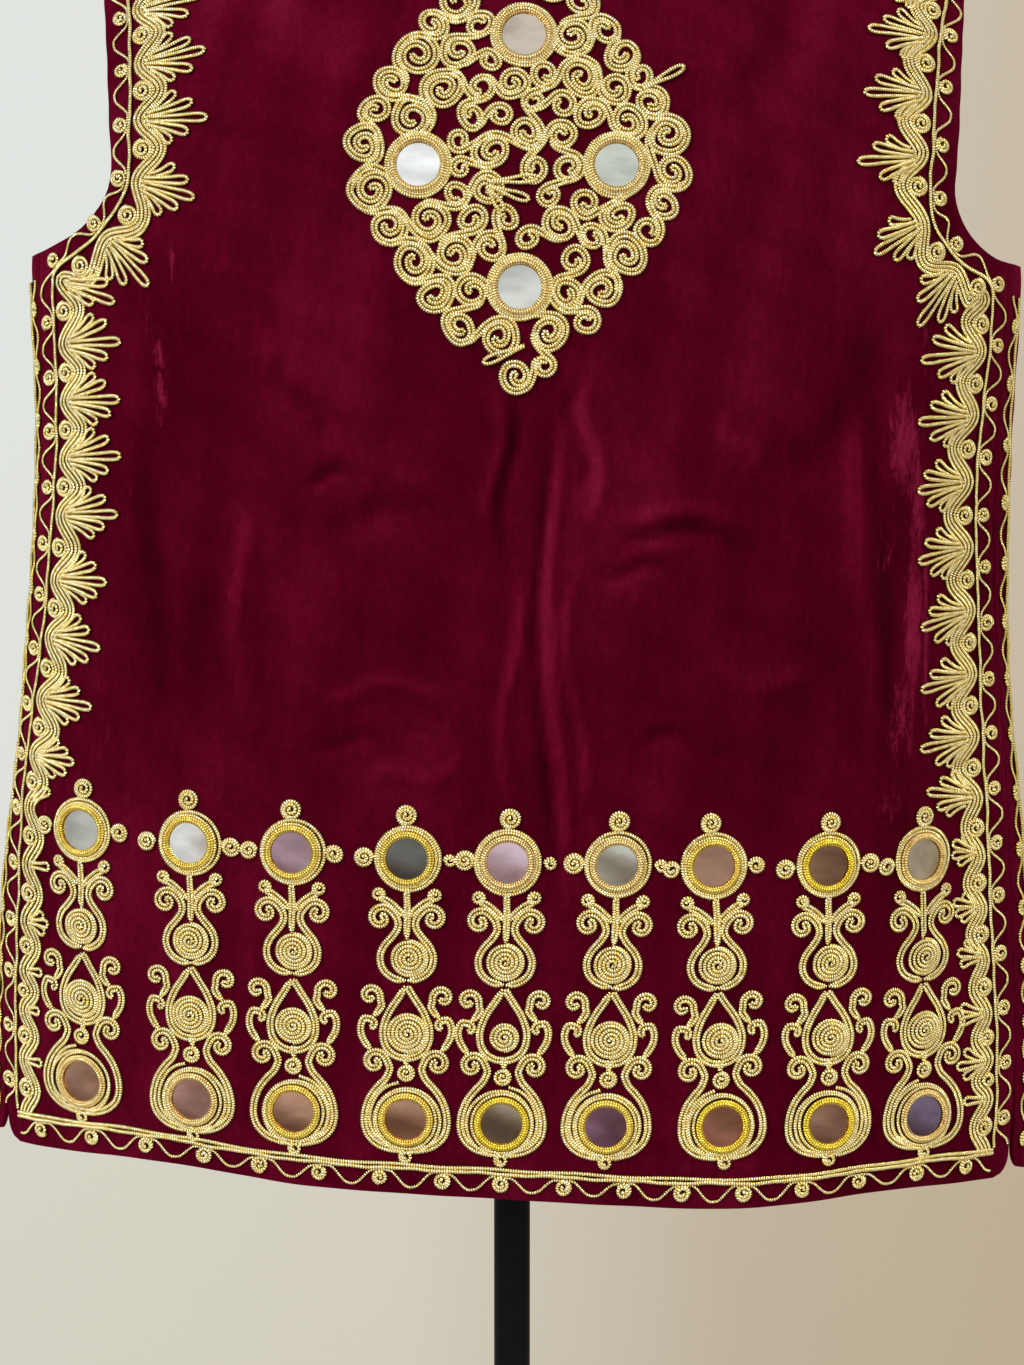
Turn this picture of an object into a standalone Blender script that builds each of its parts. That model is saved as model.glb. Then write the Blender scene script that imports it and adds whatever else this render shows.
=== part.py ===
"""Embroidered velvet vest standing on a limbless dress form.

The vest is a back panel and two front panels, cut as walls on one smooth worn form.
Every point of the cloth has two cloth sizes: `across`, the length along the cloth from
the centre back (positive to the right, seen from behind), and `up`, the length up the
centre back from the hem.  The gold work and the mirrors are drawn flat in those two
sizes and then bent onto the cloth, moved out from the wall.

Metres, +Z up.  The origin is under the middle of the stand's base.  The back of the
vest faces -Y and its front faces +Y.
"""
import math
from collections import namedtuple

import bmesh
import bpy
import numpy as np
from mathutils import Matrix, Vector

# ---- the garment --------------------------------------------------------------------
HEM_Z = 0.800                 # floor to the hem at the centre back
CLOTH = 0.0022                # velvet with its backing
SEAM_GAP = 0.0004             # between pieces that are sewn together
SHOULDER_START = 0.440        # height over the hem where the shoulders start to curve
NECK_HEIGHT = 0.668           # height over the hem of the crest at the neck
SHOULDER_SLOPE = 0.32
SHOULDER_REACH = 0.262        # length over the crest from the centre to the shoulder point
CREST_ROUND = 0.020
LEAN = 0.034                  # the hem hangs lower to the right by this much a metre
LEAN_FULL = 0.10
LEAN_NONE = 0.46

UNDERARM_LEFT = 0.457
UNDERARM_RIGHT = 0.449
BACK_SCOOP = 0.050            # height of the armhole's curve on the back
FRONT_SCOOP = 0.078
SCOOP_POWER = 2.0
ARMHOLE_LEFT = 0.194          # centre back to the armhole's straight edge
ARMHOLE_RIGHT = 0.2172
ARMHOLE_FLARE = 0.075         # how far the armhole widens for each metre up
NECK_HALF_WIDTH = 0.085
BACK_NECK_DROP = 0.046        # length of cloth cut away at the centre back
VEE_FOOT = 0.470
FRONT_OPENING = 0.018         # between the two front edges
FRONT_CHEST = 0.195           # centre front to the front armhole
HEM_CORNER = 0.012
VENT_HEIGHT = 0.075
VENT_SPREAD = 0.004

# ---- the gold work and mirrors ------------------------------------------------------
MIRROR_RADIUS = 0.0100
MIRROR_THICKNESS = 0.0012
MIRROR_SIDES = 10
COLUMN_TOP = 0.1615           # height of the upper mirrors over the hem
COLUMN_FOOT = 0.0375          # height of the lower mirrors over the hem
RELIEF = 0.0020               # height of the laid gold cord
RELIEF_LIFT = 0.0010          # clear of the wall, under the cord
MIRROR_LIFT = RELIEF_LIFT + RELIEF + 0.0011
CORD_PAIR = 0.0042            # width of two cords side by side
UPPER_STEM_WIDTH = 0.0075
LOWER_STEM_WIDTH = 0.0080
COLUMN_RING = 0.0147          # outer radius of the cord round a column's upper mirror
RING_SIDES = 12
CURL_SIDES = 6
COIL_SIDES = 5
INWARD_SPAN = 0.012           # half the run of border cord that gives its direction
HEM_LINE = 0.0125             # hem to the middle of the border cord
FRONT_LINE = 0.0145           # a front's edge to its border cord
MEDALLION_ACROSS = 0.0025
MEDALLION_UP = 0.484
MEDALLION_RING = 0.0155
COIL_REACH = 0.82             # share of two coils' radii within which they surely overlap
PALMETTE_HALF = 0.43          # half the palmette's width, as a share of its pitch
SIDE_STEPS = 10               # straight runs of a front's border cord down one side
HEM_STEPS = 16
SIDE_FACET = 0.022            # longest flat run of the gold work round the sides
BACK_FACET = 0.032            # the same on the flatter back
SHOULDER_FACET = 0.016        # the same up over the shoulders

# ---- the form and its stand ---------------------------------------------------------
FORM_GAP = 0.0020             # between the form's shoulders and the cloth on them
FORM_BOTTOM = 0.060           # underside of the form, over the hem
FORM_SPREAD = 0.11            # share by which the form widens to its shoulders
FORM_SHOULDER_DROP = 0.030
NECK_RADIUS = 0.050
NECK_FORWARD = 0.020
NECK_SINK = 0.060             # the neck starts this far under the crest
NECK_RISE = 0.055             # neck's top over the crest
CAP_THICKNESS = 0.014
CAP_BEVEL = 0.003
POLE_RADIUS = 0.0095
POLE_SOCKET = 0.040           # depth of the pole's socket in the form
FIT_GAP = 0.0004
BASE_RADIUS = 0.190
BASE_THICKNESS = 0.014
BASE_EDGE = 0.004
BOSS_RADIUS = 0.024
BOSS_HEIGHT = 0.045

# ---- mesh fineness ------------------------------------------------------------------
HEM_ROWS = (0.0, 0.006, 0.024)             # shares of the height that round the corners
LOW_ROWS = 11
SCOOP_ROWS = (0.03, 0.14, 0.34, 0.64, 1.0)
HIGH_ROWS = 8
EDGE_ROW = 0.012              # last row before the crest, as a share
EDGE_COLUMN = 0.004
SHOULDER_COLUMNS = 7
NECK_COLUMNS = 8
FRONT_COLUMNS = 9
OPENING_POWER = 1.35
ROUND_STEPS = 24
FORM_SIDES = 22
FORM_HIGH_ROWS = 7

Ring = namedtuple("Ring", "height left_width right_width back_depth front_depth")
RINGS = (
    Ring(-0.03, 0.270, 0.276, 0.118, 0.108),
    Ring(0.04, 0.268, 0.274, 0.118, 0.108),
    Ring(0.10, 0.264, 0.270, 0.118, 0.108),
    Ring(0.17, 0.257, 0.263, 0.118, 0.108),
    Ring(0.23, 0.250, 0.256, 0.119, 0.109),
    Ring(0.29, 0.245, 0.253, 0.120, 0.110),
    Ring(0.35, 0.242, 0.254, 0.120, 0.113),
    Ring(0.43, 0.243, 0.258, 0.121, 0.117),
    Ring(0.50, 0.244, 0.258, 0.120, 0.117),
    Ring(0.70, 0.240, 0.254, 0.116, 0.115),
)

SideSeam = namedtuple("SideSeam", "up left right")
SIDE_SEAMS = (
    SideSeam(0.00, 0.279, 0.266),
    SideSeam(0.08, 0.281, 0.270),
    SideSeam(0.17, 0.281, 0.272),
    SideSeam(0.24, 0.272, 0.272),
    SideSeam(0.30, 0.262, 0.267),
    SideSeam(0.36, 0.256, 0.263),
    SideSeam(0.46, 0.258, 0.264),
)

HemPoint = namedtuple("HemPoint", "across up")
HEM_CURVE = (
    HemPoint(-0.28, -0.0010),
    HemPoint(-0.19, 0.0055),
    HemPoint(-0.10, 0.0020),
    HemPoint(0.00, 0.0010),
    HemPoint(0.12, -0.0025),
    HemPoint(0.21, 0.0025),
    HemPoint(0.28, 0.0000),
)

Fold = namedtuple("Fold", "start deepest end depth low low_full high_full high")
SIDE_FOLD = Fold(0.172, 0.222, 0.262, 0.012, 0.02, 0.16, 0.32, 0.43)

Column = namedtuple("Column", "number top_across foot_across rise")
COLUMNS = (
    Column(1, -0.218, -0.217, 0.0015),
    Column(2, -0.156, -0.155, 0.0010),
    Column(3, -0.104, -0.104, 0.0),
    Column(4, -0.049, -0.050, 0.0),
    Column(5, -0.002, -0.005, 0.0),
    Column(6, 0.049, 0.044, 0.0),
    Column(7, 0.095, 0.100, 0.0),
    Column(8, 0.152, 0.153, 0.0),
    Column(9, 0.209, 0.2055, 0.0),
)

# The border cord's run up each side of the back, round the armhole to the shoulder.
LinePoint = namedtuple("LinePoint", "up left right")
BORDER_LINE = (
    LinePoint(0.0125, 0.2645, 0.2505),
    LinePoint(0.060, 0.2660, 0.2535),
    LinePoint(0.110, 0.2665, 0.2550),
    LinePoint(0.170, 0.2665, 0.2555),
    LinePoint(0.205, 0.2625, 0.2550),
    LinePoint(0.240, 0.2575, 0.2550),
    LinePoint(0.270, 0.2515, 0.2545),
    LinePoint(0.300, 0.2470, 0.2520),
    LinePoint(0.330, 0.2425, 0.2495),
    LinePoint(0.360, 0.2405, 0.2480),
    LinePoint(0.400, 0.2400, 0.2480),
    LinePoint(0.432, 0.2400, 0.2465),
    LinePoint(0.442, 0.2360, 0.2270),
    LinePoint(0.455, 0.2150, 0.2140),
    LinePoint(0.469, 0.1990, 0.2055),
    LinePoint(0.485, 0.1888, 0.2040),
    LinePoint(0.505, 0.1860, 0.2045),
    LinePoint(0.560, 0.1870, 0.2095),
    LinePoint(0.620, 0.1920, 0.2175),
    LinePoint(0.690, 0.1980, 0.2260),
)

# Palmettes down each side of the back: height of the root on the border cord, how far the tip
# turns down from the inward direction in degrees, and the length.
Palmette = namedtuple("Palmette", "up tilt length")
LEFT_PALMETTES = (
    Palmette(0.686, 29, 0.044),
    Palmette(0.647, 21, 0.044),
    Palmette(0.607, 14, 0.044),
    Palmette(0.567, 10, 0.043),
    Palmette(0.5295, 9, 0.043),
    Palmette(0.4925, 9, 0.043),
    Palmette(0.464, 3, 0.045),
    Palmette(0.4375, -16, 0.046),
    Palmette(0.405, 0, 0.047),
    Palmette(0.3775, 0, 0.047),
    Palmette(0.349, -4, 0.047),
    Palmette(0.3205, -9, 0.047),
    Palmette(0.288, -9, 0.047),
    Palmette(0.259, -7, 0.047),
    Palmette(0.2265, -7, 0.046),
    Palmette(0.1975, -4, 0.040),
    Palmette(0.170, -24, 0.022),
    Palmette(0.1405, -2, 0.020),
    Palmette(0.1125, 0, 0.020),
    Palmette(0.087, -3, 0.0155),
    Palmette(0.0675, -3, 0.0145),
    Palmette(0.0425, 0, 0.0165),
)
RIGHT_PALMETTES = (
    Palmette(0.684, 37, 0.044),
    Palmette(0.641, 28, 0.044),
    Palmette(0.597, 23, 0.044),
    Palmette(0.552, 19, 0.043),
    Palmette(0.510, 21, 0.043),
    Palmette(0.4705, 20, 0.043),
    Palmette(0.444, -6, 0.042),
    Palmette(0.428, 5, 0.014),
    Palmette(0.4025, 5, 0.047),
    Palmette(0.372, 5, 0.047),
    Palmette(0.341, 3, 0.047),
    Palmette(0.310, 3, 0.047),
    Palmette(0.280, 7, 0.047),
    Palmette(0.2485, 8, 0.047),
    Palmette(0.219, 7, 0.046),
    Palmette(0.189, -6, 0.041),
    Palmette(0.161, -8, 0.025),
    Palmette(0.1355, 0, 0.0245),
    Palmette(0.1105, -7, 0.0235),
    Palmette(0.083, 0, 0.019),
    Palmette(0.060, 5, 0.0215),
    Palmette(0.041, 0, 0.0165),
)

# Coils of the back medallion, right half, from its centre; the left half mirrors them.
# Each is a knot of two or three small spirals of cord.
Coil = namedtuple("Coil", "across up radius")
MEDALLION_COILS = (
    Coil(0.000, 0.104, 0.0095),
    Coil(0.016, 0.089, 0.0100),
    Coil(0.034, 0.077, 0.0105),
    Coil(0.029, 0.060, 0.0090),
    Coil(0.050, 0.060, 0.0110),
    Coil(0.068, 0.046, 0.0105),
    Coil(0.051, 0.041, 0.0095),
    Coil(0.036, 0.036, 0.0095),
    Coil(0.019, 0.037, 0.0105),
    Coil(0.078, 0.028, 0.0095),
    Coil(0.061, 0.024, 0.0095),
    Coil(0.073, 0.009, 0.0105),
    Coil(0.016, 0.015, 0.0115),
    Coil(0.015, -0.009, 0.0110),
    Coil(0.072, -0.012, 0.0105),
    Coil(0.058, -0.029, 0.0110),
    Coil(0.040, -0.029, 0.0095),
    Coil(0.018, -0.030, 0.0110),
    Coil(0.046, -0.047, 0.0110),
    Coil(0.026, -0.048, 0.0095),
    Coil(0.032, -0.064, 0.0095),
    Coil(0.027, -0.080, 0.0090),
    Coil(0.011, -0.083, 0.0095),
    Coil(0.000, -0.104, 0.0105),
)
MedallionMirror = namedtuple("MedallionMirror", "name across up")
MEDALLION_MIRRORS = (
    MedallionMirror("left", -0.045, -0.001),
    MedallionMirror("right", 0.045, -0.001),
    MedallionMirror("top", 0.003, 0.058),
    MedallionMirror("bottom", 0.001, -0.058),
)

# A column's gold work, across from its axis and up from the centre of its upper mirror.
Spot = namedtuple("Spot", "across up")
VASE = (Spot(0.0040, -0.0320), Spot(0.0130, -0.0420), Spot(0.0105, -0.0545), Spot(0.0020, -0.0590))
DROP = (Spot(0.0020, -0.0580), Spot(0.0125, -0.0780), Spot(0.0095, -0.0895), Spot(0.0035, -0.0925))
PEAR = (Spot(0.0060, -0.1030), Spot(0.0165, -0.1150), Spot(0.0200, -0.1270), Spot(0.0160, -0.1390),
        Spot(0.0060, -0.1420))
UPPER_STEM = (Spot(0.0, -0.0120), Spot(0.0, -0.0340))
LOWER_STEM = (Spot(0.0, -0.0900), Spot(0.0, -0.1065))
CROSS_BAR = (Spot(-0.0135, -0.0275), Spot(0.0135, -0.0275))
SCROLL = (Spot(0.0162, -0.0655), Spot(0.0195, -0.0850), Spot(0.0145, -0.0990))
SCROLL_FOOT = (Spot(0.0138, -0.0990), Spot(0.0070, -0.1080))
SCROLL_CURLS = (Coil(0.0142, -0.0270, 0.0064), Coil(0.0160, -0.0655, 0.0060), Coil(0.0138, -0.0990, 0.0062))

# Rings of the form by height over the hem: half width, and depth to the back and to the front.
FormRing = namedtuple("FormRing", "height half_width back_depth front_depth")
FORM_RINGS = (
    FormRing(0.06, 0.156, 0.096, 0.090),
    FormRing(0.10, 0.158, 0.099, 0.092),
    FormRing(0.16, 0.152, 0.094, 0.088),
    FormRing(0.23, 0.147, 0.090, 0.086),
    FormRing(0.30, 0.156, 0.093, 0.094),
    FormRing(0.37, 0.168, 0.099, 0.102),
    FormRing(0.44, 0.176, 0.102, 0.104),
)

Paint = namedtuple("Paint", "colour roughness metallic")
VELVET = Paint((0.080, 0.002, 0.010), 0.85, 0.0)
GOLD_CORD = Paint((0.560, 0.380, 0.100), 0.42, 0.75)
MIRROR = Paint((0.520, 0.500, 0.490), 0.06, 1.0)
JERSEY = Paint((0.560, 0.520, 0.450), 0.90, 0.0)
BLACK_METAL = Paint((0.012, 0.012, 0.013), 0.38, 0.6)
DARK_WOOD = Paint((0.045, 0.024, 0.012), 0.45, 0.0)


# ---- scene and materials ------------------------------------------------------------
def clear_scene():
    """Remove the objects of the open scene."""
    for thing in list(bpy.data.objects):
        bpy.data.objects.remove(thing, do_unlink=True)


def new_collection(name):
    """A collection linked into the scene."""
    collection = bpy.data.collections.new(name)
    bpy.context.scene.collection.children.link(collection)
    return collection


def finish(thing, paint):
    """Give a piece its own Principled material."""
    material = bpy.data.materials.new(thing.name)
    material.use_nodes = True
    shader = material.node_tree.nodes["Principled BSDF"]
    shader.inputs["Base Color"].default_value = (*paint.colour, 1.0)
    shader.inputs["Roughness"].default_value = paint.roughness
    shader.inputs["Metallic"].default_value = paint.metallic
    thing.data.materials.clear()
    thing.data.materials.append(material)


def new_part(name, mesh, paint):
    """A smooth-shaded object in the parts collection."""
    mesh.shade_smooth()
    mesh.set_sharp_from_angle(angle=math.radians(35))
    part = bpy.data.objects.new(name, mesh)
    parts.objects.link(part)
    finish(part, paint)
    return part


def evaluated_mesh(thing):
    """The object's mesh with its modifiers, or the mesh of a curve."""
    bpy.context.view_layer.update()
    graph = bpy.context.evaluated_depsgraph_get()
    return bpy.data.meshes.new_from_object(thing.evaluated_get(graph))


def mix(low, high, share):
    """The value this share of the way from low to high."""
    return low + (high - low) * share


# ---- the cloth's surface ------------------------------------------------------------
def smooth_step(value, low, high):
    """0 below low, 1 above high, and an S curve between them."""
    share = np.clip((value - low) / (high - low), 0.0, 1.0)
    return share * share * (3.0 - 2.0 * share)


def smooth_row(rows, key, column, value):
    """A named column of a table, read on a smooth curve through its rows."""
    keys = np.array([getattr(row, key) for row in rows])
    sizes = np.array([getattr(row, column) for row in rows])
    slopes = np.gradient(sizes, keys)
    index = np.clip(np.searchsorted(keys, value) - 1, 0, len(rows) - 2)
    gap = keys[index + 1] - keys[index]
    t = np.clip((value - keys[index]) / gap, 0.0, 1.0)
    start = (1 + 2 * t) * (1 - t) ** 2 * sizes[index] + t * (1 - t) ** 2 * gap * slopes[index]
    end = t * t * (3 - 2 * t) * sizes[index + 1] - t * t * (1 - t) * gap * slopes[index + 1]
    return start + end


def crest_height(x):
    """Height over the hem of the shoulders' crest."""
    return NECK_HEIGHT - SHOULDER_SLOPE * np.hypot(x, CREST_ROUND)


def ring_points(angle, height, turn):
    """Points of the cloth's rings: angle 0 is the centre back, turn runs up to the crest."""
    left = smooth_row(RINGS, "height", "left_width", height)
    right = smooth_row(RINGS, "height", "right_width", height)
    x = np.where(angle < 0, left, right) * np.sin(angle)
    back = smooth_row(RINGS, "height", "back_depth", height)
    front = smooth_row(RINGS, "height", "front_depth", height)
    on_back = np.cos(angle) > 0
    y = -np.where(on_back, back, front) * np.cos(angle) * np.cos(turn)
    fold = SIDE_FOLD
    inward = smooth_step(x, fold.start, fold.deepest) - smooth_step(x, fold.deepest, fold.end)
    reach = smooth_step(height, fold.low, fold.low_full) - smooth_step(height, fold.high_full, fold.high)
    y = y + np.where(on_back, fold.depth * inward * reach, 0.0)
    rise = (crest_height(x) - SHOULDER_START) * np.sin(turn)
    lean = LEAN * (1.0 - smooth_step(height, LEAN_FULL, LEAN_NONE))
    z = HEM_Z + height + rise - lean * x
    return np.stack([x, y, z], axis=-1)


class Cloth:
    """The garment's surface, read by its cloth sizes across and up."""

    STEP = 0.004
    LOWEST = -0.03
    REACH = 0.66
    RING_STEPS = 720
    CREST_STEPS = 60
    WRAP = math.radians(230.0)

    def __init__(self):
        heights = np.arange(self.LOWEST, SHOULDER_START, self.STEP)
        turns = np.linspace(0.0, math.pi / 2, self.CREST_STEPS)
        rows = np.concatenate([heights, np.full(len(turns), SHOULDER_START)])
        turned = np.concatenate([np.zeros(len(heights)), turns])
        angles = np.linspace(-self.WRAP, self.WRAP, self.RING_STEPS + 1)
        points = ring_points(angles[None, :], rows[:, None], turned[:, None])
        middle = self.RING_STEPS // 2
        rise = np.linalg.norm(np.diff(points[:, middle], axis=0), axis=1)
        row_up = self.LOWEST + np.concatenate([[0.0], np.cumsum(rise)])
        runs = np.linalg.norm(np.diff(points, axis=1), axis=-1)
        lengths = np.concatenate([np.zeros((len(points), 1)), np.cumsum(runs, axis=1)], axis=1)
        lengths -= lengths[:, middle:middle + 1]
        self.top = float(row_up[-1])
        self.up = np.append(np.arange(self.LOWEST, self.top - self.STEP / 4, self.STEP), self.top)
        self.across = np.linspace(-self.REACH, self.REACH, int(2 * self.REACH / self.STEP) + 1)
        self.half_girths = {}
        for side in (-1, 1):
            half = [abs(np.interp(side * math.pi, angles, length)) for length in lengths]
            self.half_girths[side] = np.interp(self.up, row_up, half)
        even = np.stack([self.resample(self.across, lengths[i], points[i]) for i in range(len(points))])
        flat = even.reshape(len(points), -1)
        self.points = self.resample(self.up, row_up, flat).reshape(len(self.up), -1, 3)
        normals = np.cross(np.gradient(self.points, axis=1), np.gradient(self.points, axis=0))
        self.normals = normals / np.linalg.norm(normals, axis=-1, keepdims=True)

    @staticmethod
    def resample(places, keys, values):
        """Every column of values, read at new places."""
        return np.stack([np.interp(places, keys, values[:, k]) for k in range(values.shape[1])], axis=1)

    def half_girth(self, up, side):
        """Length across from the centre back to the centre front, round the left or right."""
        return float(np.interp(up, self.up, self.half_girths[side]))

    def place(self, across, up, lift=0.0):
        """The point of the cloth at these sizes, moved out by lift."""
        column = float(np.interp(across, self.across, np.arange(len(self.across))))
        row = float(np.interp(up, self.up, np.arange(len(self.up))))
        i = min(int(row), len(self.up) - 2)
        j = min(int(column), len(self.across) - 2)
        s, t = row - i, column - j
        corners = (((1 - s) * (1 - t), i, j), ((1 - s) * t, i, j + 1),
                   (s * (1 - t), i + 1, j), (s * t, i + 1, j + 1))
        point = sum(share * self.points[a, b] for share, a, b in corners)
        normal = sum(share * self.normals[a, b] for share, a, b in corners)
        return Vector(point) + Vector(normal).normalized() * lift


# ---- the panels' edges --------------------------------------------------------------
def underarm_height(side):
    """Height of the corner between the side seam and the armhole; side is -1 on the left."""
    return UNDERARM_LEFT if side < 0 else UNDERARM_RIGHT


def seam_across(up, side):
    """Centre back to the side seam."""
    column = "left" if side < 0 else "right"
    return float(smooth_row(SIDE_SEAMS, "up", column, np.float64(up)))


def hem_height(across):
    """The hem's gentle waves, over its level at the centre back."""
    return float(smooth_row(HEM_CURVE, "across", "up", np.float64(across)))


def corner_inset(rise):
    """How far the rounded hem corner draws in at this height over the hem."""
    drop = min(max(HEM_CORNER - rise, 0.0), HEM_CORNER)
    return HEM_CORNER - math.sqrt(HEM_CORNER ** 2 - drop ** 2)


def vent_inset(rise):
    """How far a panel's edge draws back in the side vent."""
    return VENT_SPREAD / 2 * float(smooth_step(VENT_HEIGHT - rise, 0.0, VENT_HEIGHT))


def armhole_share(up, underarm, height):
    """Share of the way in from the side seam to the armhole's straight edge."""
    left = 1.0 - min(max((up - underarm) / height, 0.0), 1.0)
    return (1.0 - left ** SCOOP_POWER) ** (1.0 / SCOOP_POWER)


def armhole_across(up, side):
    """Centre back to the armhole's straight edge."""
    straight = ARMHOLE_LEFT if side < 0 else ARMHOLE_RIGHT
    return straight + ARMHOLE_FLARE * (up - underarm_height(side))


def side_edge(up, side):
    """Centre back to a panel's own side of the seam, with its hem corner and vent."""
    seam = seam_across(up, side)
    rise = up - hem_height(side * seam)
    return seam, SEAM_GAP / 2 + corner_inset(rise) + vent_inset(rise)


def back_edge(up, side):
    """The back panel's edge: the side seam, and the armhole above it."""
    underarm = underarm_height(side)
    seam, inset = side_edge(min(up, underarm), side)
    share = armhole_share(up, underarm, BACK_SCOOP)
    return side * mix(seam - inset, armhole_across(up, side), share)


def front_distance(cloth, up, side):
    """Centre front to the front panel's edge at the side seam or the armhole."""
    underarm = underarm_height(side)
    low = min(up, underarm)
    seam, inset = side_edge(low, side)
    tip = armhole_across(cloth.top, side)
    climb = max(up - underarm, 0.0) / (cloth.top - underarm)
    straight = mix(FRONT_CHEST, tip, climb ** 2)
    share = armhole_share(up, underarm, FRONT_SCOOP)
    return mix(cloth.half_girth(low, side) - seam - inset, straight, share)


def crest_up(cloth, across):
    """Height of a panel's edge at the shoulder seam, for an even gap along the seam."""
    reach = min(abs(across) / SHOULDER_REACH, 0.9)
    return cloth.top - SEAM_GAP / 2 / math.sqrt(1.0 - reach * reach)


def front_edge(cloth, up, hem):
    """Centre front to a front's inner edge, which leans out above the foot of the vee."""
    climb = max(up - VEE_FOOT, 0.0) / (cloth.top - VEE_FOOT)
    return mix(FRONT_OPENING / 2 + corner_inset(up - hem), NECK_HALF_WIDTH, climb)


# ---- the panels ---------------------------------------------------------------------
def even_shares(low, high, count):
    """Evenly spaced shares after low, up to and with high."""
    return [mix(low, high, k / count) for k in range(1, count + 1)]


def opening_shares(low, high, count):
    """Shares after low, up to and with high, close together at low."""
    return [mix(low, high, (k / count) ** OPENING_POWER) for k in range(1, count + 1)]


def panel_rows(scoop_share):
    """Rows of a panel: its part (0 below the underarm, 1 above) and the share of that part."""
    low = list(HEM_ROWS) + even_shares(HEM_ROWS[-1], 1.0, LOW_ROWS)
    high = [scoop_share * share for share in SCOOP_ROWS]
    turned = [math.sin(math.pi / 2 * k / HIGH_ROWS) for k in range(1, HIGH_ROWS)]
    high += [mix(scoop_share, 1.0, share) for share in turned if share < 1.0 - 3 * EDGE_ROW]
    high += [1.0 - EDGE_ROW, 1.0]
    return [(0, share) for share in low] + [(1, share) for share in high]


def panel_wall(name, columns, row_count, point_at):
    """A wall whose outer face is a grid of points, thickened inwards."""
    mesh = bpy.data.meshes.new(name)
    bm = bmesh.new()
    grid = [[bm.verts.new(point_at(row, share)) for share in columns] for row in range(row_count)]
    for lower, upper in zip(grid, grid[1:]):
        for j in range(len(columns) - 1):
            bm.faces.new((lower[j], lower[j + 1], upper[j + 1], upper[j]))
    bm.to_mesh(mesh)
    bm.free()
    panel = new_part(name, mesh, VELVET)
    wall = panel.modifiers.new("wall", "SOLIDIFY")
    wall.thickness = CLOTH
    wall.offset = -1.0
    wall.use_even_offset = True


def back_panel(cloth):
    """The whole back, from the hem to the shoulder seams and the neck."""
    tips = [back_edge(cloth.top, side) for side in (-1, 1)]
    width = tips[1] - tips[0]
    neck = [(side * NECK_HALF_WIDTH - tips[0]) / width for side in (-1, 1)]
    edge = EDGE_COLUMN / width
    left = [0.0, edge] + opening_shares(edge, neck[0], SHOULDER_COLUMNS)
    right = [1.0, 1.0 - edge] + opening_shares(1.0 - edge, neck[1], SHOULDER_COLUMNS)
    turns = [math.pi * k / NECK_COLUMNS for k in range(1, NECK_COLUMNS)]
    columns = left + [mix(neck[0], neck[1], (1 - math.cos(turn)) / 2) for turn in turns] + right[::-1]
    rows = panel_rows(BACK_SCOOP / (cloth.top - UNDERARM_LEFT))

    def up_at(row, share):
        part, along = rows[row]
        underarm = mix(UNDERARM_LEFT, UNDERARM_RIGHT, share)
        if part == 0:
            hem = hem_height(mix(-seam_across(0.0, -1), seam_across(0.0, 1), share))
            return mix(hem, underarm, along)
        across = tips[0] + share * width
        reach = min(abs(across) / NECK_HALF_WIDTH, 1.0)
        drop = BACK_NECK_DROP * math.sqrt(1.0 - reach * reach)
        return mix(underarm, crest_up(cloth, across) - drop, along)

    def point_at(row, share):
        left = back_edge(up_at(row, 0.0), -1)
        right = back_edge(up_at(row, 1.0), 1)
        return cloth.place(mix(left, right, share), up_at(row, share))

    panel_wall("back_panel", columns, len(rows), point_at)


def front_panel(cloth, side, name):
    """One front, from the side seam to its edge at the centre and in the vee neck."""
    tip = front_distance(cloth, cloth.top, side)
    underarm = underarm_height(side)
    edge = EDGE_COLUMN / tip
    columns = [0.0, edge] + opening_shares(edge, 1.0, FRONT_COLUMNS)
    rows = panel_rows(FRONT_SCOOP / (cloth.top - underarm))
    hem = hem_height(side * seam_across(0.0, side))

    def point_at(row, share):
        part, along = rows[row]
        across = mix(tip, NECK_HALF_WIDTH, share)
        low, high = (hem, underarm) if part == 0 else (underarm, crest_up(cloth, across))
        up = mix(low, high, along)
        distance = mix(front_distance(cloth, up, side), front_edge(cloth, up, hem), share)
        return cloth.place(side * (cloth.half_girth(up, side) - distance), up)

    panel_wall(name, columns if side > 0 else columns[::-1], len(rows), point_at)


# ---- flat gold work -----------------------------------------------------------------
def coil_outline(across, up, radius, sides=8):
    """Outline of a round coil of cord, as a regular polygon."""
    turns = [2 * math.pi * (k + 0.5) / sides for k in range(sides)]
    return [(across + radius * math.cos(turn), up + radius * math.sin(turn)) for turn in turns]


def ribbon_outline(points, width):
    """Outline of a flat strip along a run of points."""
    left, right = [], []
    for k, point in enumerate(points):
        ahead = Vector(points[min(k + 1, len(points) - 1)])
        behind = Vector(points[max(k - 1, 0)])
        along = (ahead - behind).normalized()
        aside = Vector((-along.y, along.x)) * width / 2
        left.append(tuple(Vector(point) + aside))
        right.append(tuple(Vector(point) - aside))
    return left + right[::-1]


def mirrored_outline(half):
    """A closed outline from its right half, listed from top to bottom."""
    return [(-across, up) for across, up in reversed(half)] + list(half)


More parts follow.
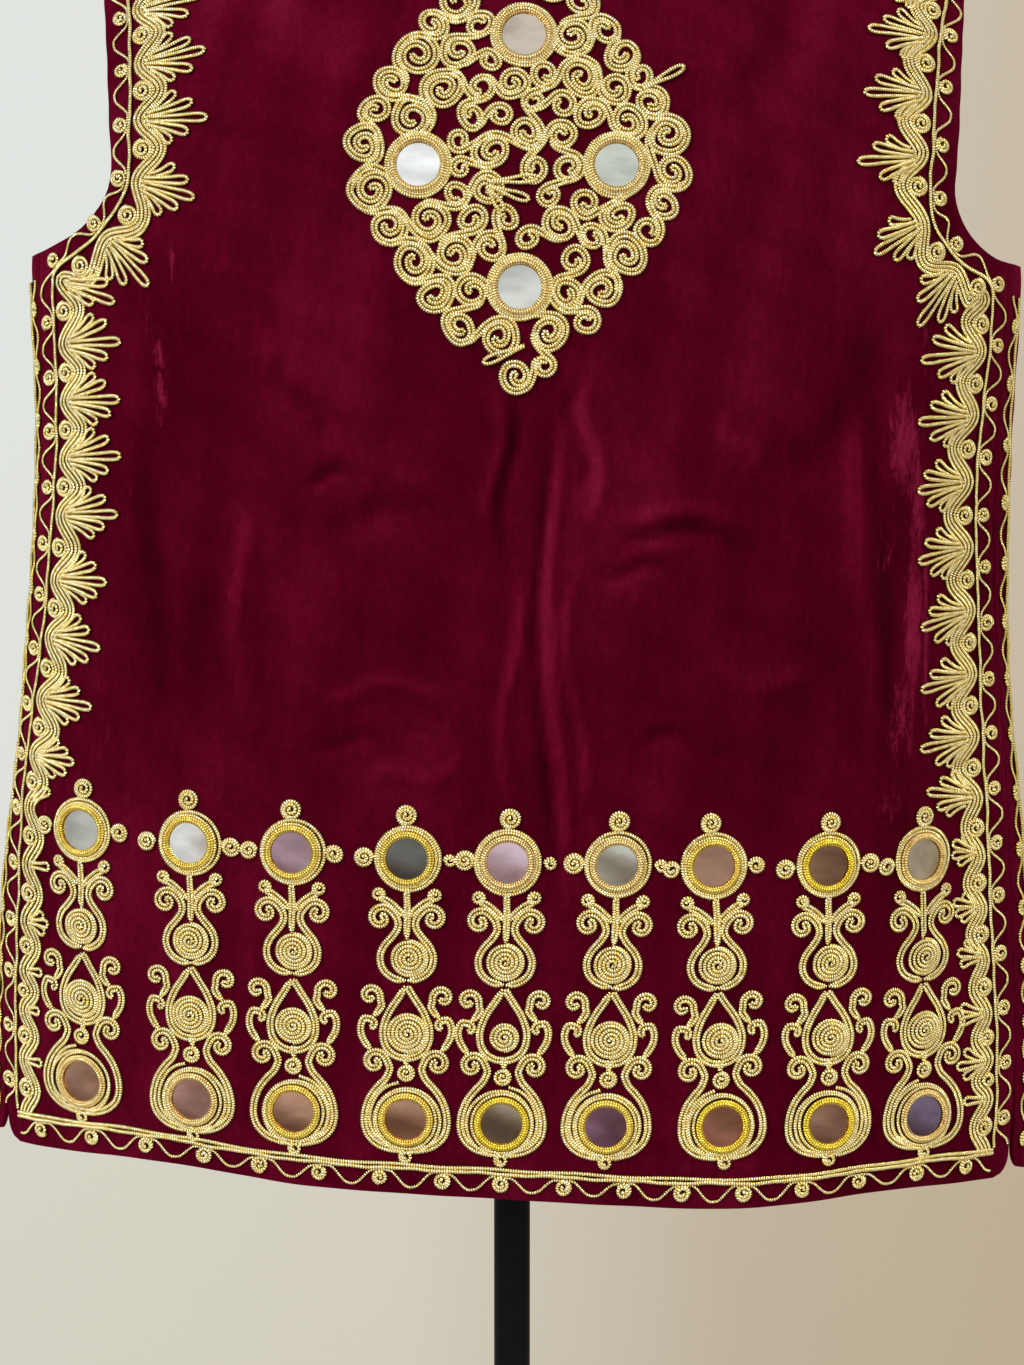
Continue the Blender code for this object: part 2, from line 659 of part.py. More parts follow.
def plate(outline):
    """A flat outline made into a plate on z = 0, as high as the laid cord."""
    curve = bpy.data.curves.new("plate", "CURVE")
    curve.dimensions = "2D"
    curve.fill_mode = "BOTH"
    curve.extrude = RELIEF / 2
    spline = curve.splines.new("POLY")
    spline.points.add(len(outline) - 1)
    for place, (across, up) in zip(spline.points, outline):
        place.co = (across, up, 0.0, 1.0)
    spline.use_cyclic_u = True
    sketch = bpy.data.objects.new("plate", curve)
    cutters.objects.link(sketch)
    mesh = evaluated_mesh(sketch)
    bpy.data.objects.remove(sketch)
    bm = bmesh.new()
    bm.from_mesh(mesh)
    bmesh.ops.remove_doubles(bm, verts=bm.verts, dist=1e-6)
    bmesh.ops.translate(bm, verts=bm.verts, vec=(0.0, 0.0, RELIEF / 2))
    bmesh.ops.recalc_face_normals(bm, faces=bm.faces)
    bm.to_mesh(mesh)
    bm.free()
    return mesh


def joined_plate(outlines):
    """Overlapping outlines as one plate."""
    pieces = new_collection("plates")
    solids = [bpy.data.objects.new("plate", plate(outline)) for outline in outlines]
    for solid in solids[1:]:
        pieces.objects.link(solid)
    cutters.objects.link(solids[0])
    union = solids[0].modifiers.new("join", "BOOLEAN")
    union.operation = "UNION"
    union.operand_type = "COLLECTION"
    union.collection = pieces
    mesh = evaluated_mesh(solids[0])
    for solid in solids:
        bpy.data.objects.remove(solid)
    bpy.data.collections.remove(pieces)
    bm = bmesh.new()
    bm.from_mesh(mesh)
    bmesh.ops.remove_doubles(bm, verts=bm.verts, dist=2e-5)
    bm.to_mesh(mesh)
    bm.free()
    return mesh


def even_cuts(low, high, gap):
    """Places this far apart, counted from zero."""
    return [k * gap for k in range(math.ceil(low / gap), math.floor(high / gap) + 1)]


def shoulder_cuts():
    """Heights where work that runs up to the shoulders is cut to follow their curve."""
    return even_cuts(0.0, SHOULDER_START, 2 * SIDE_FACET) + even_cuts(SHOULDER_START, 1.0, SHOULDER_FACET)


def bent_work(cloth, name, flat, facet, across=0.0, up=0.0, slant=0.0, up_cuts=()):
    """Flat gold work set at its place on the cloth and bent to the cloth's curve."""
    bm = bmesh.new()
    bm.from_mesh(flat)
    bmesh.ops.dissolve_limit(bm, angle_limit=math.radians(1.0), verts=bm.verts, edges=bm.edges)
    spread = [vert.co.x for vert in bm.verts]
    rise = [vert.co.y for vert in bm.verts]
    cuts = [(Vector((1, 0, 0)), place) for place in even_cuts(min(spread), max(spread), facet)]
    cuts += [(Vector((0, 1, 0)), place) for place in up_cuts if min(rise) < place < max(rise)]
    for way, place in cuts:
        whole = bm.verts[:] + bm.edges[:] + bm.faces[:]
        bmesh.ops.bisect_plane(bm, geom=whole, plane_co=way * place, plane_no=way, dist=1e-5)
    bmesh.ops.triangulate(bm, faces=bm.faces)
    for vert in bm.verts:
        x, y, z = vert.co
        vert.co = cloth.place(across + x + slant * y, up + y, RELIEF_LIFT + z)
    mesh = bpy.data.meshes.new(name)
    bm.to_mesh(mesh)
    bm.free()
    new_part(name, mesh, GOLD_CORD)


# ---- columns of the hem -------------------------------------------------------------
def column_outlines():
    """One column of gold work, from the centre of its upper mirror down."""
    outlines = [coil_outline(0.0, 0.0, COLUMN_RING, RING_SIDES)]
    outlines += [mirrored_outline(half) for half in (VASE, DROP, PEAR)]
    outlines.append(ribbon_outline(UPPER_STEM, UPPER_STEM_WIDTH))
    outlines.append(ribbon_outline(CROSS_BAR, CORD_PAIR))
    outlines.append(ribbon_outline(LOWER_STEM, LOWER_STEM_WIDTH))
    for side in (-1, 1):
        for curl in SCROLL_CURLS:
            outlines.append(coil_outline(side * curl.across, curl.up, curl.radius, CURL_SIDES))
        for run in (SCROLL, SCROLL_FOOT):
            outlines.append(ribbon_outline([(side * spot.across, spot.up) for spot in run], CORD_PAIR))
    return outlines


def hem_columns(cloth):
    """The nine columns, each leaning a little on its own two mirrors."""
    flat = joined_plate(column_outlines())
    for column in COLUMNS:
        slant = (column.top_across - column.foot_across) / (COLUMN_TOP - COLUMN_FOOT)
        bent_work(cloth, f"hem_column_{column.number}", flat, BACK_FACET, column.top_across,
                  COLUMN_TOP + column.rise, slant)


# ---- the medallion ------------------------------------------------------------------
def medallion_coils():
    """Every coil of the medallion, both halves."""
    mirrored = [Coil(-coil.across, coil.up, coil.radius) for coil in MEDALLION_COILS if coil.across > 0]
    return list(MEDALLION_COILS) + mirrored


def open_links(places):
    """Pairs that tie the places together, each to its nearest, where they do not yet overlap."""
    tied, loose, links = [places[0]], list(places[1:]), []
    while loose:
        pairs = [(math.dist(near[:2], far[:2]), near, far) for near in tied for far in loose]
        gap, near, far = min(pairs)
        if gap > COIL_REACH * (near.radius + far.radius):
            links.append((near, far))
        loose.remove(far)
        tied.append(far)
    return links


def medallion(cloth):
    """The back's large lozenge of linked coils round its four mirrors."""
    coils = medallion_coils()
    rings = [Coil(mirror.across, mirror.up, MEDALLION_RING) for mirror in MEDALLION_MIRRORS]
    outlines = [coil_outline(ring.across, ring.up, ring.radius, RING_SIDES) for ring in rings]
    outlines += [coil_outline(coil.across, coil.up, coil.radius, COIL_SIDES) for coil in coils]
    for near, far in open_links(rings + coils):
        outlines.append(ribbon_outline([near[:2], far[:2]], CORD_PAIR))
    bent_work(cloth, "back_medallion", joined_plate(outlines), BACK_FACET, MEDALLION_ACROSS, MEDALLION_UP)


# ---- the borders --------------------------------------------------------------------
def line_point(up, side):
    """The border cord of the back's side at this height."""
    column = "left" if side < 0 else "right"
    keys = [row.up for row in BORDER_LINE]
    return side * float(np.interp(up, keys, [getattr(row, column) for row in BORDER_LINE])), up


def palmette_outline(root, direction, length, half):
    """A fan of five petals from its root on the border cord."""
    shape = ((0.0, 0.45), (0.45, 1.00), (0.74, 0.62), (1.00, 0.00))
    petals = [(along * length, aside * half) for along, aside in shape]
    petals += [(along, -aside) for along, aside in petals[-2::-1]]
    turn = Matrix.Rotation(direction, 2)
    corners = [turn @ Vector(petal) for petal in petals]
    return [(root[0] + corner.x, root[1] + corner.y) for corner in corners]


def inward_direction(up, side):
    """Angle in the cloth from the border cord straight in to the panel."""
    behind, ahead = line_point(up - INWARD_SPAN, side), line_point(up + INWARD_SPAN, side)
    along = math.atan2(ahead[1] - behind[1], ahead[0] - behind[0])
    return along + side * math.pi / 2


def side_border(cloth, side, name):
    """Border cord and palmettes up one side of the back and round its armhole."""
    outlines = [ribbon_outline([line_point(row.up, side) for row in BORDER_LINE], CORD_PAIR)]
    palmettes = LEFT_PALMETTES if side < 0 else RIGHT_PALMETTES
    roots = [line_point(row.up, side) for row in palmettes]
    gaps = [math.dist(upper, lower) for upper, lower in zip(roots, roots[1:])]
    pitches = [min(pair) for pair in zip([gaps[0]] + gaps, gaps + [gaps[-1]])]
    for row, root, pitch in zip(palmettes, roots, pitches):
        direction = inward_direction(root[1], side) + side * math.radians(row.tilt)
        outlines.append(palmette_outline(root, direction, row.length, pitch * PALMETTE_HALF))
    bent_work(cloth, name, joined_plate(outlines), SIDE_FACET, up_cuts=shoulder_cuts())


def hem_border(cloth):
    """Border cord along the back's hem, between the two side borders."""
    ends = [line_point(HEM_LINE, side)[0] - side * (CORD_PAIR / 2 + FIT_GAP) for side in (-1, 1)]
    line = [ends[0]] + even_shares(ends[0], ends[1], HEM_STEPS)
    outline = ribbon_outline([(across, hem_height(across) + HEM_LINE) for across in line], CORD_PAIR)
    bent_work(cloth, "hem_border", plate(outline), SIDE_FACET)


def front_border(cloth, side, name):
    """Border cord round a front: down the side seam, and along the hem, the edge and the vee."""
    hem = hem_height(side * seam_across(0.0, side))
    line = hem + FRONT_LINE
    side_ups = [mix(underarm_height(side) - FRONT_LINE, line, k / SIDE_STEPS) for k in range(SIDE_STEPS + 1)]
    points = []
    for up in side_ups:
        points.append((cloth.half_girth(up, side) - front_distance(cloth, up, side) + FRONT_LINE, up))
    corner = cloth.half_girth(line, side) - FRONT_OPENING / 2 - FRONT_LINE
    points += [(mix(points[-1][0], corner, share), line) for share in even_shares(0.0, 1.0, SIDE_STEPS)]
    top = cloth.top - FRONT_LINE / 2
    edge_ups = even_shares(line, VEE_FOOT, SIDE_STEPS) + even_shares(VEE_FOOT, top, SIDE_STEPS)
    for up in edge_ups:
        points.append((cloth.half_girth(up, side) - front_edge(cloth, up, 0.0) - FRONT_LINE, up))
    outline = ribbon_outline([(side * across, up) for across, up in points], CORD_PAIR)
    bent_work(cloth, name, plate(outline), SIDE_FACET, up_cuts=shoulder_cuts())


# ---- the mirrors --------------------------------------------------------------------
def mirror(cloth, name, across, up):
    """A round mirror lying on the gold work, on its rim where the cloth is hollow."""
    bm = bmesh.new()
    bmesh.ops.create_cone(bm, cap_ends=True, segments=MIRROR_SIDES, radius1=MIRROR_RADIUS,
                          radius2=MIRROR_RADIUS, depth=MIRROR_THICKNESS)
    mesh = bpy.data.meshes.new(name)
    bm.to_mesh(mesh)
    bm.free()
    disc = new_part(name, mesh, MIRROR)
    middle = cloth.place(across, up, MIRROR_LIFT)
    outward = (middle - cloth.place(across, up)).normalized()
    rim = coil_outline(across, up, MIRROR_RADIUS, MIRROR_SIDES)
    hollow = max((cloth.place(x, y, MIRROR_LIFT) - middle).dot(outward) for x, y in rim)
    disc.location = middle + outward * (MIRROR_THICKNESS / 2 + max(hollow, 0.0))
    disc.rotation_euler = outward.to_track_quat("Z", "Y").to_euler()


def mirrors(cloth):
    """Two mirrors on each column and four in the medallion."""
    for column in COLUMNS:
        mirror(cloth, f"mirror_top_{column.number}", column.top_across, COLUMN_TOP + column.rise)
        mirror(cloth, f"mirror_foot_{column.number}", column.foot_across, COLUMN_FOOT + column.rise)
    for place in MEDALLION_MIRRORS:
        mirror(cloth, f"mirror_medallion_{place.name}", MEDALLION_ACROSS + place.across,
               MEDALLION_UP + place.up)


# ---- the form and the stand ---------------------------------------------------------
def form_ring(height, turn):
    """One ring of the dress form: a section at this height, or on the turn to the crest."""
    half_width = float(smooth_row(FORM_RINGS, "height", "half_width", np.float64(height)))
    half_width *= 1.0 + FORM_SPREAD * math.sin(turn)
    back = float(smooth_row(FORM_RINGS, "height", "back_depth", np.float64(height)))
    front = float(smooth_row(FORM_RINGS, "height", "front_depth", np.float64(height)))
    points = []
    for k in range(FORM_SIDES):
        angle = 2 * math.pi * k / FORM_SIDES
        x = half_width * math.sin(angle)
        y = -(back if math.cos(angle) > 0 else front) * math.cos(angle) * math.cos(turn)
        shoulder = FORM_SHOULDER_DROP * abs(math.sin(angle)) ** 8
        crest = float(crest_height(x)) - (CLOTH + FORM_GAP) * 1.06 - shoulder
        points.append(Vector((x, y, HEM_Z + height + (crest - SHOULDER_START) * math.sin(turn))))
    return points


def form_shell():
    """The torso without its neck, as a closed loft of rings."""
    rings = [form_ring(ring.height, 0.0) for ring in FORM_RINGS]
    turns = [math.pi / 2 * k / FORM_HIGH_ROWS for k in range(1, FORM_HIGH_ROWS + 1)]
    rings += [form_ring(SHOULDER_START, turn) for turn in turns]
    bm = bmesh.new()
    loops = [[bm.verts.new(point) for point in ring] for ring in rings]
    for lower, upper in zip(loops, loops[1:]):
        for k in range(FORM_SIDES):
            after = (k + 1) % FORM_SIDES
            bm.faces.new((lower[k], lower[after], upper[after], upper[k]))
    bm.faces.new(loops[0][::-1])
    bmesh.ops.remove_doubles(bm, verts=bm.verts, dist=1e-5)
    bmesh.ops.dissolve_degenerate(bm, edges=bm.edges, dist=1e-6)
    mesh = bpy.data.meshes.new("form_torso")
    bm.to_mesh(mesh)
    bm.free()
    return new_part("form_torso", mesh, JERSEY)


def cylinder(name, radius, low, high, centre_y=0.0):
    """A closed upright cylinder in the cutters collection."""
    bm = bmesh.new()
    bmesh.ops.create_cone(bm, cap_ends=True, segments=ROUND_STEPS, radius1=radius, radius2=radius,
                          depth=high - low)
    bmesh.ops.translate(bm, verts=bm.verts, vec=(0.0, centre_y, (low + high) / 2))
    mesh = bpy.data.meshes.new(name)
    bm.to_mesh(mesh)
    bm.free()
    thing = bpy.data.objects.new(name, mesh)
    thing.hide_render = True
    thing.display_type = "WIRE"
    cutters.objects.link(thing)
    return thing


def combine(thing, other, operation):
    """Add a Boolean modifier."""
    step = thing.modifiers.new(other.name, "BOOLEAN")
    step.operation = operation
    step.object = other


def dress_form():
    """Torso with its neck, its neck cap, and the socket for the pole."""
    torso = form_shell()
    crest = HEM_Z + NECK_HEIGHT
    neck_top = crest + NECK_RISE
    combine(torso, cylinder("neck", NECK_RADIUS, crest - NECK_SINK, neck_top, NECK_FORWARD), "UNION")
    bottom = HEM_Z + FORM_BOTTOM
    socket = cylinder("pole_socket", POLE_RADIUS + FIT_GAP, bottom - POLE_SOCKET, bottom + POLE_SOCKET)
    combine(torso, socket, "DIFFERENCE")
    half = [(0.0, neck_top + FIT_GAP + CAP_THICKNESS), (NECK_RADIUS, neck_top + FIT_GAP + CAP_THICKNESS),
            (NECK_RADIUS, neck_top + FIT_GAP), (0.0, neck_top + FIT_GAP)]
    cap = turned("form_neck_cap", half, CAP_BEVEL, DARK_WOOD)
    cap.location.y = NECK_FORWARD


def turned(name, profile, bevel, paint):
    """A turned solid: its profile runs down the outer side at +X, from top to bottom."""
    mesh = bpy.data.meshes.new(name)
    points = [(x, 0.0, z) for x, z in profile]
    mesh.from_pydata(points, [(k, k + 1) for k in range(len(points) - 1)], [])
    part = new_part(name, mesh, paint)
    screw = part.modifiers.new("turn", "SCREW")
    screw.axis = "Z"
    screw.steps = ROUND_STEPS
    screw.render_steps = ROUND_STEPS
    screw.use_merge_vertices = True
    screw.merge_threshold = 0.0001
    round_edge = part.modifiers.new("round", "BEVEL")
    round_edge.width = bevel
    round_edge.segments = 1
    round_edge.limit_method = "ANGLE"
    round_edge.angle_limit = math.radians(50)
    return part


def stand():
    """The pole and its round weighted base."""
    boss_top = BASE_THICKNESS + BOSS_HEIGHT
    base = [(0.0, boss_top), (BOSS_RADIUS, boss_top), (BOSS_RADIUS, BASE_THICKNESS),
            (BASE_RADIUS, BASE_THICKNESS), (BASE_RADIUS, 0.0), (0.0, 0.0)]
    turned("stand_base", base, BASE_EDGE, BLACK_METAL)
    pole_top = HEM_Z + FORM_BOTTOM + POLE_SOCKET - FIT_GAP
    pole_foot = boss_top + FIT_GAP
    pole = [(0.0, pole_top), (POLE_RADIUS, pole_top), (POLE_RADIUS, pole_foot), (0.0, pole_foot)]
    turned("stand_pole", pole, FIT_GAP, BLACK_METAL)


def build():
    """Make every piece."""
    cloth = Cloth()
    back_panel(cloth)
    front_panel(cloth, -1, "left_front_panel")
    front_panel(cloth, 1, "right_front_panel")
    medallion(cloth)
    hem_columns(cloth)
    side_border(cloth, -1, "left_side_border")
    side_border(cloth, 1, "right_side_border")
    hem_border(cloth)
    front_border(cloth, -1, "left_front_border")
    front_border(cloth, 1, "right_front_border")
    mirrors(cloth)
    dress_form()
    stand()


clear_scene()
parts = new_collection("vest_on_dress_form")
cutters = new_collection("cutters")
build()
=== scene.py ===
"""Looks of the embroidered velvet vest on its dress form.

The cloth follows the same smooth surface as the solids, read by two cloth sizes:
`across` from the centre back and `up` from the hem.  The gold cords of the back are drawn
flat, as seen from straight behind (x, height), and laid onto the cloth.  All sizes are in
metres unless a comment says otherwise, and a side is -1 on the left and 1 on the right.
"""
import math
import random
from collections import namedtuple

import bmesh
import bpy
import numpy as np
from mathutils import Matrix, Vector


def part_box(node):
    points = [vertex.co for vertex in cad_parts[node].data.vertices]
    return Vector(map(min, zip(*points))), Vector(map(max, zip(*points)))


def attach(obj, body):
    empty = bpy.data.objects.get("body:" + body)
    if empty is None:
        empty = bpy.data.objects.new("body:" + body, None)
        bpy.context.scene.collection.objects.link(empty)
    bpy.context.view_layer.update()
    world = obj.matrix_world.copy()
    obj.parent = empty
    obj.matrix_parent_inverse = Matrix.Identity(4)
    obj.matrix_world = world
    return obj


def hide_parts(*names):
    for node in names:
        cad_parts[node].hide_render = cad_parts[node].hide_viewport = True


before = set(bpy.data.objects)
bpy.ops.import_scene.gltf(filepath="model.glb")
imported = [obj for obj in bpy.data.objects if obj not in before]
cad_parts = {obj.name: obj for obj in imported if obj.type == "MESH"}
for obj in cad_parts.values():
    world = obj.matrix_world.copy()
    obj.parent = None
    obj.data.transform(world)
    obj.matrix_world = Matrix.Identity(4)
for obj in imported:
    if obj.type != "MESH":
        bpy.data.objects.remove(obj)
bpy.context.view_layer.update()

MM = 0.001
SIDES = (-1, 1)

# ---- sizes that the solids share ----------------------------------------------------
HEM_Z = 0.800
CLOTH = 0.0022
SEAM_GAP = 0.0004
SHOULDER_START = 0.440
NECK_HEIGHT = 0.668
SHOULDER_SLOPE = 0.32
SHOULDER_REACH = 0.262
CREST_ROUND = 0.020
LEAN = 0.034
LEAN_FULL = 0.10
LEAN_NONE = 0.46
UNDERARM_LEFT = 0.457
UNDERARM_RIGHT = 0.449
BACK_SCOOP = 0.050
FRONT_SCOOP = 0.078
SCOOP_POWER = 2.0
ARMHOLE_LEFT = 0.194
ARMHOLE_RIGHT = 0.2172
ARMHOLE_FLARE = 0.075
NECK_HALF_WIDTH = 0.085
BACK_NECK_DROP = 0.046
VEE_FOOT = 0.470
FRONT_OPENING = 0.018
FRONT_CHEST = 0.195
HEM_CORNER = 0.012
VENT_HEIGHT = 0.075
VENT_SPREAD = 0.004
COLUMN_TOP = 0.1615
COLUMN_FOOT = 0.0375
HEM_LINE = 0.0125
FRONT_LINE = 0.0145
MEDALLION_ACROSS = 0.0025
MEDALLION_UP = 0.484

Ring = namedtuple("Ring", "height left_width right_width back_depth front_depth")
RINGS = (
    Ring(-0.03, 0.270, 0.276, 0.118, 0.108),
    Ring(0.04, 0.268, 0.274, 0.118, 0.108),
    Ring(0.10, 0.264, 0.270, 0.118, 0.108),
    Ring(0.17, 0.257, 0.263, 0.118, 0.108),
    Ring(0.23, 0.250, 0.256, 0.119, 0.109),
    Ring(0.29, 0.245, 0.253, 0.120, 0.110),
    Ring(0.35, 0.242, 0.254, 0.120, 0.113),
    Ring(0.43, 0.243, 0.258, 0.121, 0.117),
    Ring(0.50, 0.244, 0.258, 0.120, 0.117),
    Ring(0.70, 0.240, 0.254, 0.116, 0.115),
)

SideSeam = namedtuple("SideSeam", "up left right")
SIDE_SEAMS = (
    SideSeam(0.00, 0.279, 0.266),
    SideSeam(0.08, 0.281, 0.270),
    SideSeam(0.17, 0.281, 0.272),
    SideSeam(0.24, 0.272, 0.272),
    SideSeam(0.30, 0.262, 0.267),
    SideSeam(0.36, 0.256, 0.263),
    SideSeam(0.46, 0.258, 0.264),
)

HemPoint = namedtuple("HemPoint", "across up")
HEM_CURVE = (
    HemPoint(-0.28, -0.0010),
    HemPoint(-0.19, 0.0055),
    HemPoint(-0.10, 0.0020),
    HemPoint(0.00, 0.0010),
    HemPoint(0.12, -0.0025),
    HemPoint(0.21, 0.0025),
    HemPoint(0.28, 0.0000),
)

Fold = namedtuple("Fold", "start deepest end depth low low_full high_full high")
SIDE_FOLD = Fold(0.172, 0.222, 0.262, 0.012, 0.02, 0.16, 0.32, 0.43)

LinePoint = namedtuple("LinePoint", "up left right")
BORDER_LINE = (
    LinePoint(0.0125, 0.2645, 0.2505),
    LinePoint(0.060, 0.2660, 0.2535),
    LinePoint(0.110, 0.2665, 0.2550),
    LinePoint(0.170, 0.2665, 0.2555),
    LinePoint(0.205, 0.2625, 0.2550),
    LinePoint(0.240, 0.2575, 0.2550),
    LinePoint(0.270, 0.2515, 0.2545),
    LinePoint(0.300, 0.2470, 0.2520),
    LinePoint(0.330, 0.2425, 0.2495),
    LinePoint(0.360, 0.2405, 0.2480),
    LinePoint(0.400, 0.2400, 0.2480),
    LinePoint(0.432, 0.2400, 0.2465),
    LinePoint(0.442, 0.2360, 0.2270),
    LinePoint(0.455, 0.2150, 0.2140),
    LinePoint(0.469, 0.1990, 0.2055),
    LinePoint(0.485, 0.1888, 0.2040),
    LinePoint(0.505, 0.1860, 0.2045),
    LinePoint(0.560, 0.1870, 0.2095),
    LinePoint(0.620, 0.1920, 0.2175),
    LinePoint(0.690, 0.1980, 0.2260),
)

# Palmettes down each side: root on the border cord, how far the tip turns down from
# the inward direction in degrees, the length, and the kind of fan.
Palmette = namedtuple("Palmette", "up tilt length fan")
LEFT_PALMETTES = (
    Palmette(0.686, 29, 0.044, "upper"),
    Palmette(0.647, 21, 0.044, "upper"),
    Palmette(0.607, 14, 0.044, "upper"),
    Palmette(0.567, 10, 0.043, "upper"),
    Palmette(0.5295, 9, 0.043, "upper"),
    Palmette(0.4925, 9, 0.043, "upper"),
    Palmette(0.464, 3, 0.045, "upper"),
    Palmette(0.4375, -16, 0.046, "corner"),
    Palmette(0.405, 0, 0.047, "lower"),
    Palmette(0.3775, 0, 0.047, "lower"),
    Palmette(0.349, -4, 0.047, "lower"),
    Palmette(0.3205, -9, 0.047, "lower"),
    Palmette(0.288, -9, 0.047, "lower"),
    Palmette(0.259, -7, 0.047, "lower"),
    Palmette(0.2265, -7, 0.046, "lower"),
    Palmette(0.1975, -4, 0.040, "lower"),
    Palmette(0.170, -24, 0.022, "one"),
    Palmette(0.1405, -2, 0.020, "one"),
    Palmette(0.1125, 0, 0.020, "three"),
    Palmette(0.087, -3, 0.0155, "one"),
    Palmette(0.0675, -3, 0.0145, "one"),
    Palmette(0.0425, 0, 0.0165, "one"),
)
RIGHT_PALMETTES = (
    Palmette(0.684, 37, 0.044, "upper"),
    Palmette(0.641, 28, 0.044, "upper"),
    Palmette(0.597, 23, 0.044, "upper"),
    Palmette(0.552, 19, 0.043, "upper"),
    Palmette(0.510, 21, 0.043, "upper"),
    Palmette(0.4705, 20, 0.043, "upper"),
    Palmette(0.444, -6, 0.042, "upper"),
    Palmette(0.428, 5, 0.014, "none"),
    Palmette(0.4025, 5, 0.047, "lower"),
    Palmette(0.372, 5, 0.047, "lower"),
    Palmette(0.341, 3, 0.047, "lower"),
    Palmette(0.310, 3, 0.047, "lower"),
    Palmette(0.280, 7, 0.047, "lower"),
    Palmette(0.2485, 8, 0.047, "lower"),
    Palmette(0.219, 7, 0.046, "lower"),
    Palmette(0.189, -6, 0.041, "lower"),
    Palmette(0.161, -8, 0.025, "four"),
    Palmette(0.1355, 0, 0.0245, "four"),
    Palmette(0.1105, -7, 0.0235, "three"),
    Palmette(0.083, 0, 0.019, "two"),
    Palmette(0.060, 5, 0.0215, "three"),
    Palmette(0.041, 0, 0.0165, "one"),
)

# The nine columns: where their mirrors are, the colours painted into the mirrors as their
# reflections and how yellow the stitched rings are.  In mm: the boss in the lower drop, how
# far out the coils beside the mirror are and how large.  full_side is the side of the pear
# with a third cord.
Column = namedtuple("Column", "number top_across foot_across rise boss reach side_coil full_side "
                    "top_glass foot_glass top_ring foot_ring")
COLUMNS = (
    Column(1, -0.218, -0.217, 0.0015, 9.2, 20.6, 4.9, -1, "silver", "brown", "yellow", "pale"),
    Column(2, -0.156, -0.155, 0.0010, 9.0, 20.9, 5.0, -1, "white", "rose", "yellow", "pale"),
    Column(3, -0.104, -0.104, 0.0, 8.6, 20.4, 4.7, 1, "mauve", "copper", "yellow", "yellow"),
    Column(4, -0.049, -0.050, 0.0, 9.4, 20.0, 4.2, -1, "slate", "copper", "yellow", "yellow"),
    Column(5, -0.002, -0.005, 0.0, 6.7, 19.9, 4.3, 1, "lilac", "olive", "pale", "bright"),
    Column(6, 0.049, 0.044, 0.0, 8.9, 20.2, 4.4, -1, "sage", "purple", "pale", "yellow"),
    Column(7, 0.095, 0.100, 0.0, 8.5, 20.0, 4.4, -1, "brown", "russet", "yellow", "bright"),
    Column(8, 0.152, 0.153, 0.0, 8.8, 20.7, 5.0, 1, "umber", "brown", "bright", "bright"),
    Column(9, 0.209, 0.2055, 0.0, 9.0, 20.4, 4.6, -1, "clear", "plum", "pale", "pale"),
)

MIDDLE_COLUMNS = (4, 5, 6)     # their left coils are larger than their right ones

# glass is the reflection colour painted into each mirror.
MedallionMirror = namedtuple("MedallionMirror", "name across up glass")
MEDALLION_MIRRORS = (
    MedallionMirror("left", -0.045, -0.001, "white"),
    MedallionMirror("right", 0.045, -0.001, "sage"),
    MedallionMirror("top", 0.003, 0.058, "blush"),
    MedallionMirror("bottom", 0.001, -0.058, "bright"),
)

# Spirals of the medallion in mm from its centre; those with two sides are mirrored.
Spiral = namedtuple("Spiral", "x y radius sides")
MEDALLION_SPIRALS = (
    Spiral(0, 104, 8.0, 1), Spiral(11, 90, 8.5, 2), Spiral(27, 84, 8.0, 2),
    Spiral(24, 66, 7.5, 2), Spiral(40, 74, 8.5, 2), Spiral(39, 56, 8.0, 2),
    Spiral(55, 60, 8.5, 2), Spiral(10, 37, 6.5, 2), Spiral(24, 44, 7.0, 2),
    Spiral(38, 38, 7.5, 2), Spiral(55, 42, 8.0, 2), Spiral(70, 46, 7.0, 2),
    Spiral(60, 26, 8.0, 2), Spiral(76, 28, 8.0, 2), Spiral(69, 9, 8.0, 2), Spiral(83, 9, 6.5, 1),
    Spiral(8, 20, 7.0, 2), Spiral(23, 27, 6.5, 2), Spiral(22, 13, 6.5, 2), Spiral(9, 4, 7.0, 2),
    Spiral(22, -1, 6.0, 2), Spiral(23, -14, 6.5, 2), Spiral(9, -31, 7.0, 2),
    Spiral(24, -32, 7.5, 2), Spiral(38, -24, 6.5, 2), Spiral(53, -25, 8.0, 2),
    Spiral(70, -10, 8.5, 2), Spiral(69, -28, 8.0, 2), Spiral(40, -40, 7.5, 2),
    Spiral(56, -43, 8.5, 2), Spiral(24, -49, 6.5, 2), Spiral(39, -57, 8.0, 2),
    Spiral(25, -68, 7.0, 2), Spiral(30, -81, 7.5, 2), Spiral(11, -82, 7.5, 2),
    Spiral(14, -96, 6.0, 1), Spiral(0, -110, 8.5, 1),
)

LOZENGE = (82.5, 107.0)        # half width and half height of the medallion, in mm
LOZENGE_POWER = 1.25           # 1 is a lozenge with straight sides, 2 an oval
LOZENGE_AREA = 2.427           # of a lozenge of this power, over its two half sizes
MIRROR_ROOM = 15.2             # radius that a mirror with its rings takes up, in mm
FULLNESS = 0.95                # share of the lozenge that the spirals fill
TUCK = 0.9                     # overlap of two spirals that touch, in mm
CROSSED_SHARE = 0.93           # of the links from spiral to spiral that cross over

# Narrow loops in the medallion: root from its centre and length in mm, direction in degrees.
Leaf = namedtuple("Leaf", "x y turn length")
MEDALLION_LEAVES = (
    Leaf(57, 33, 30, 22.0),
    Leaf(3, -86, 202, 20.0),
    Leaf(-13, -11, 5, 22.0),
    Leaf(-13, -13, -18, 19.0),
    Leaf(-14, -13, -56, 13.0),
)

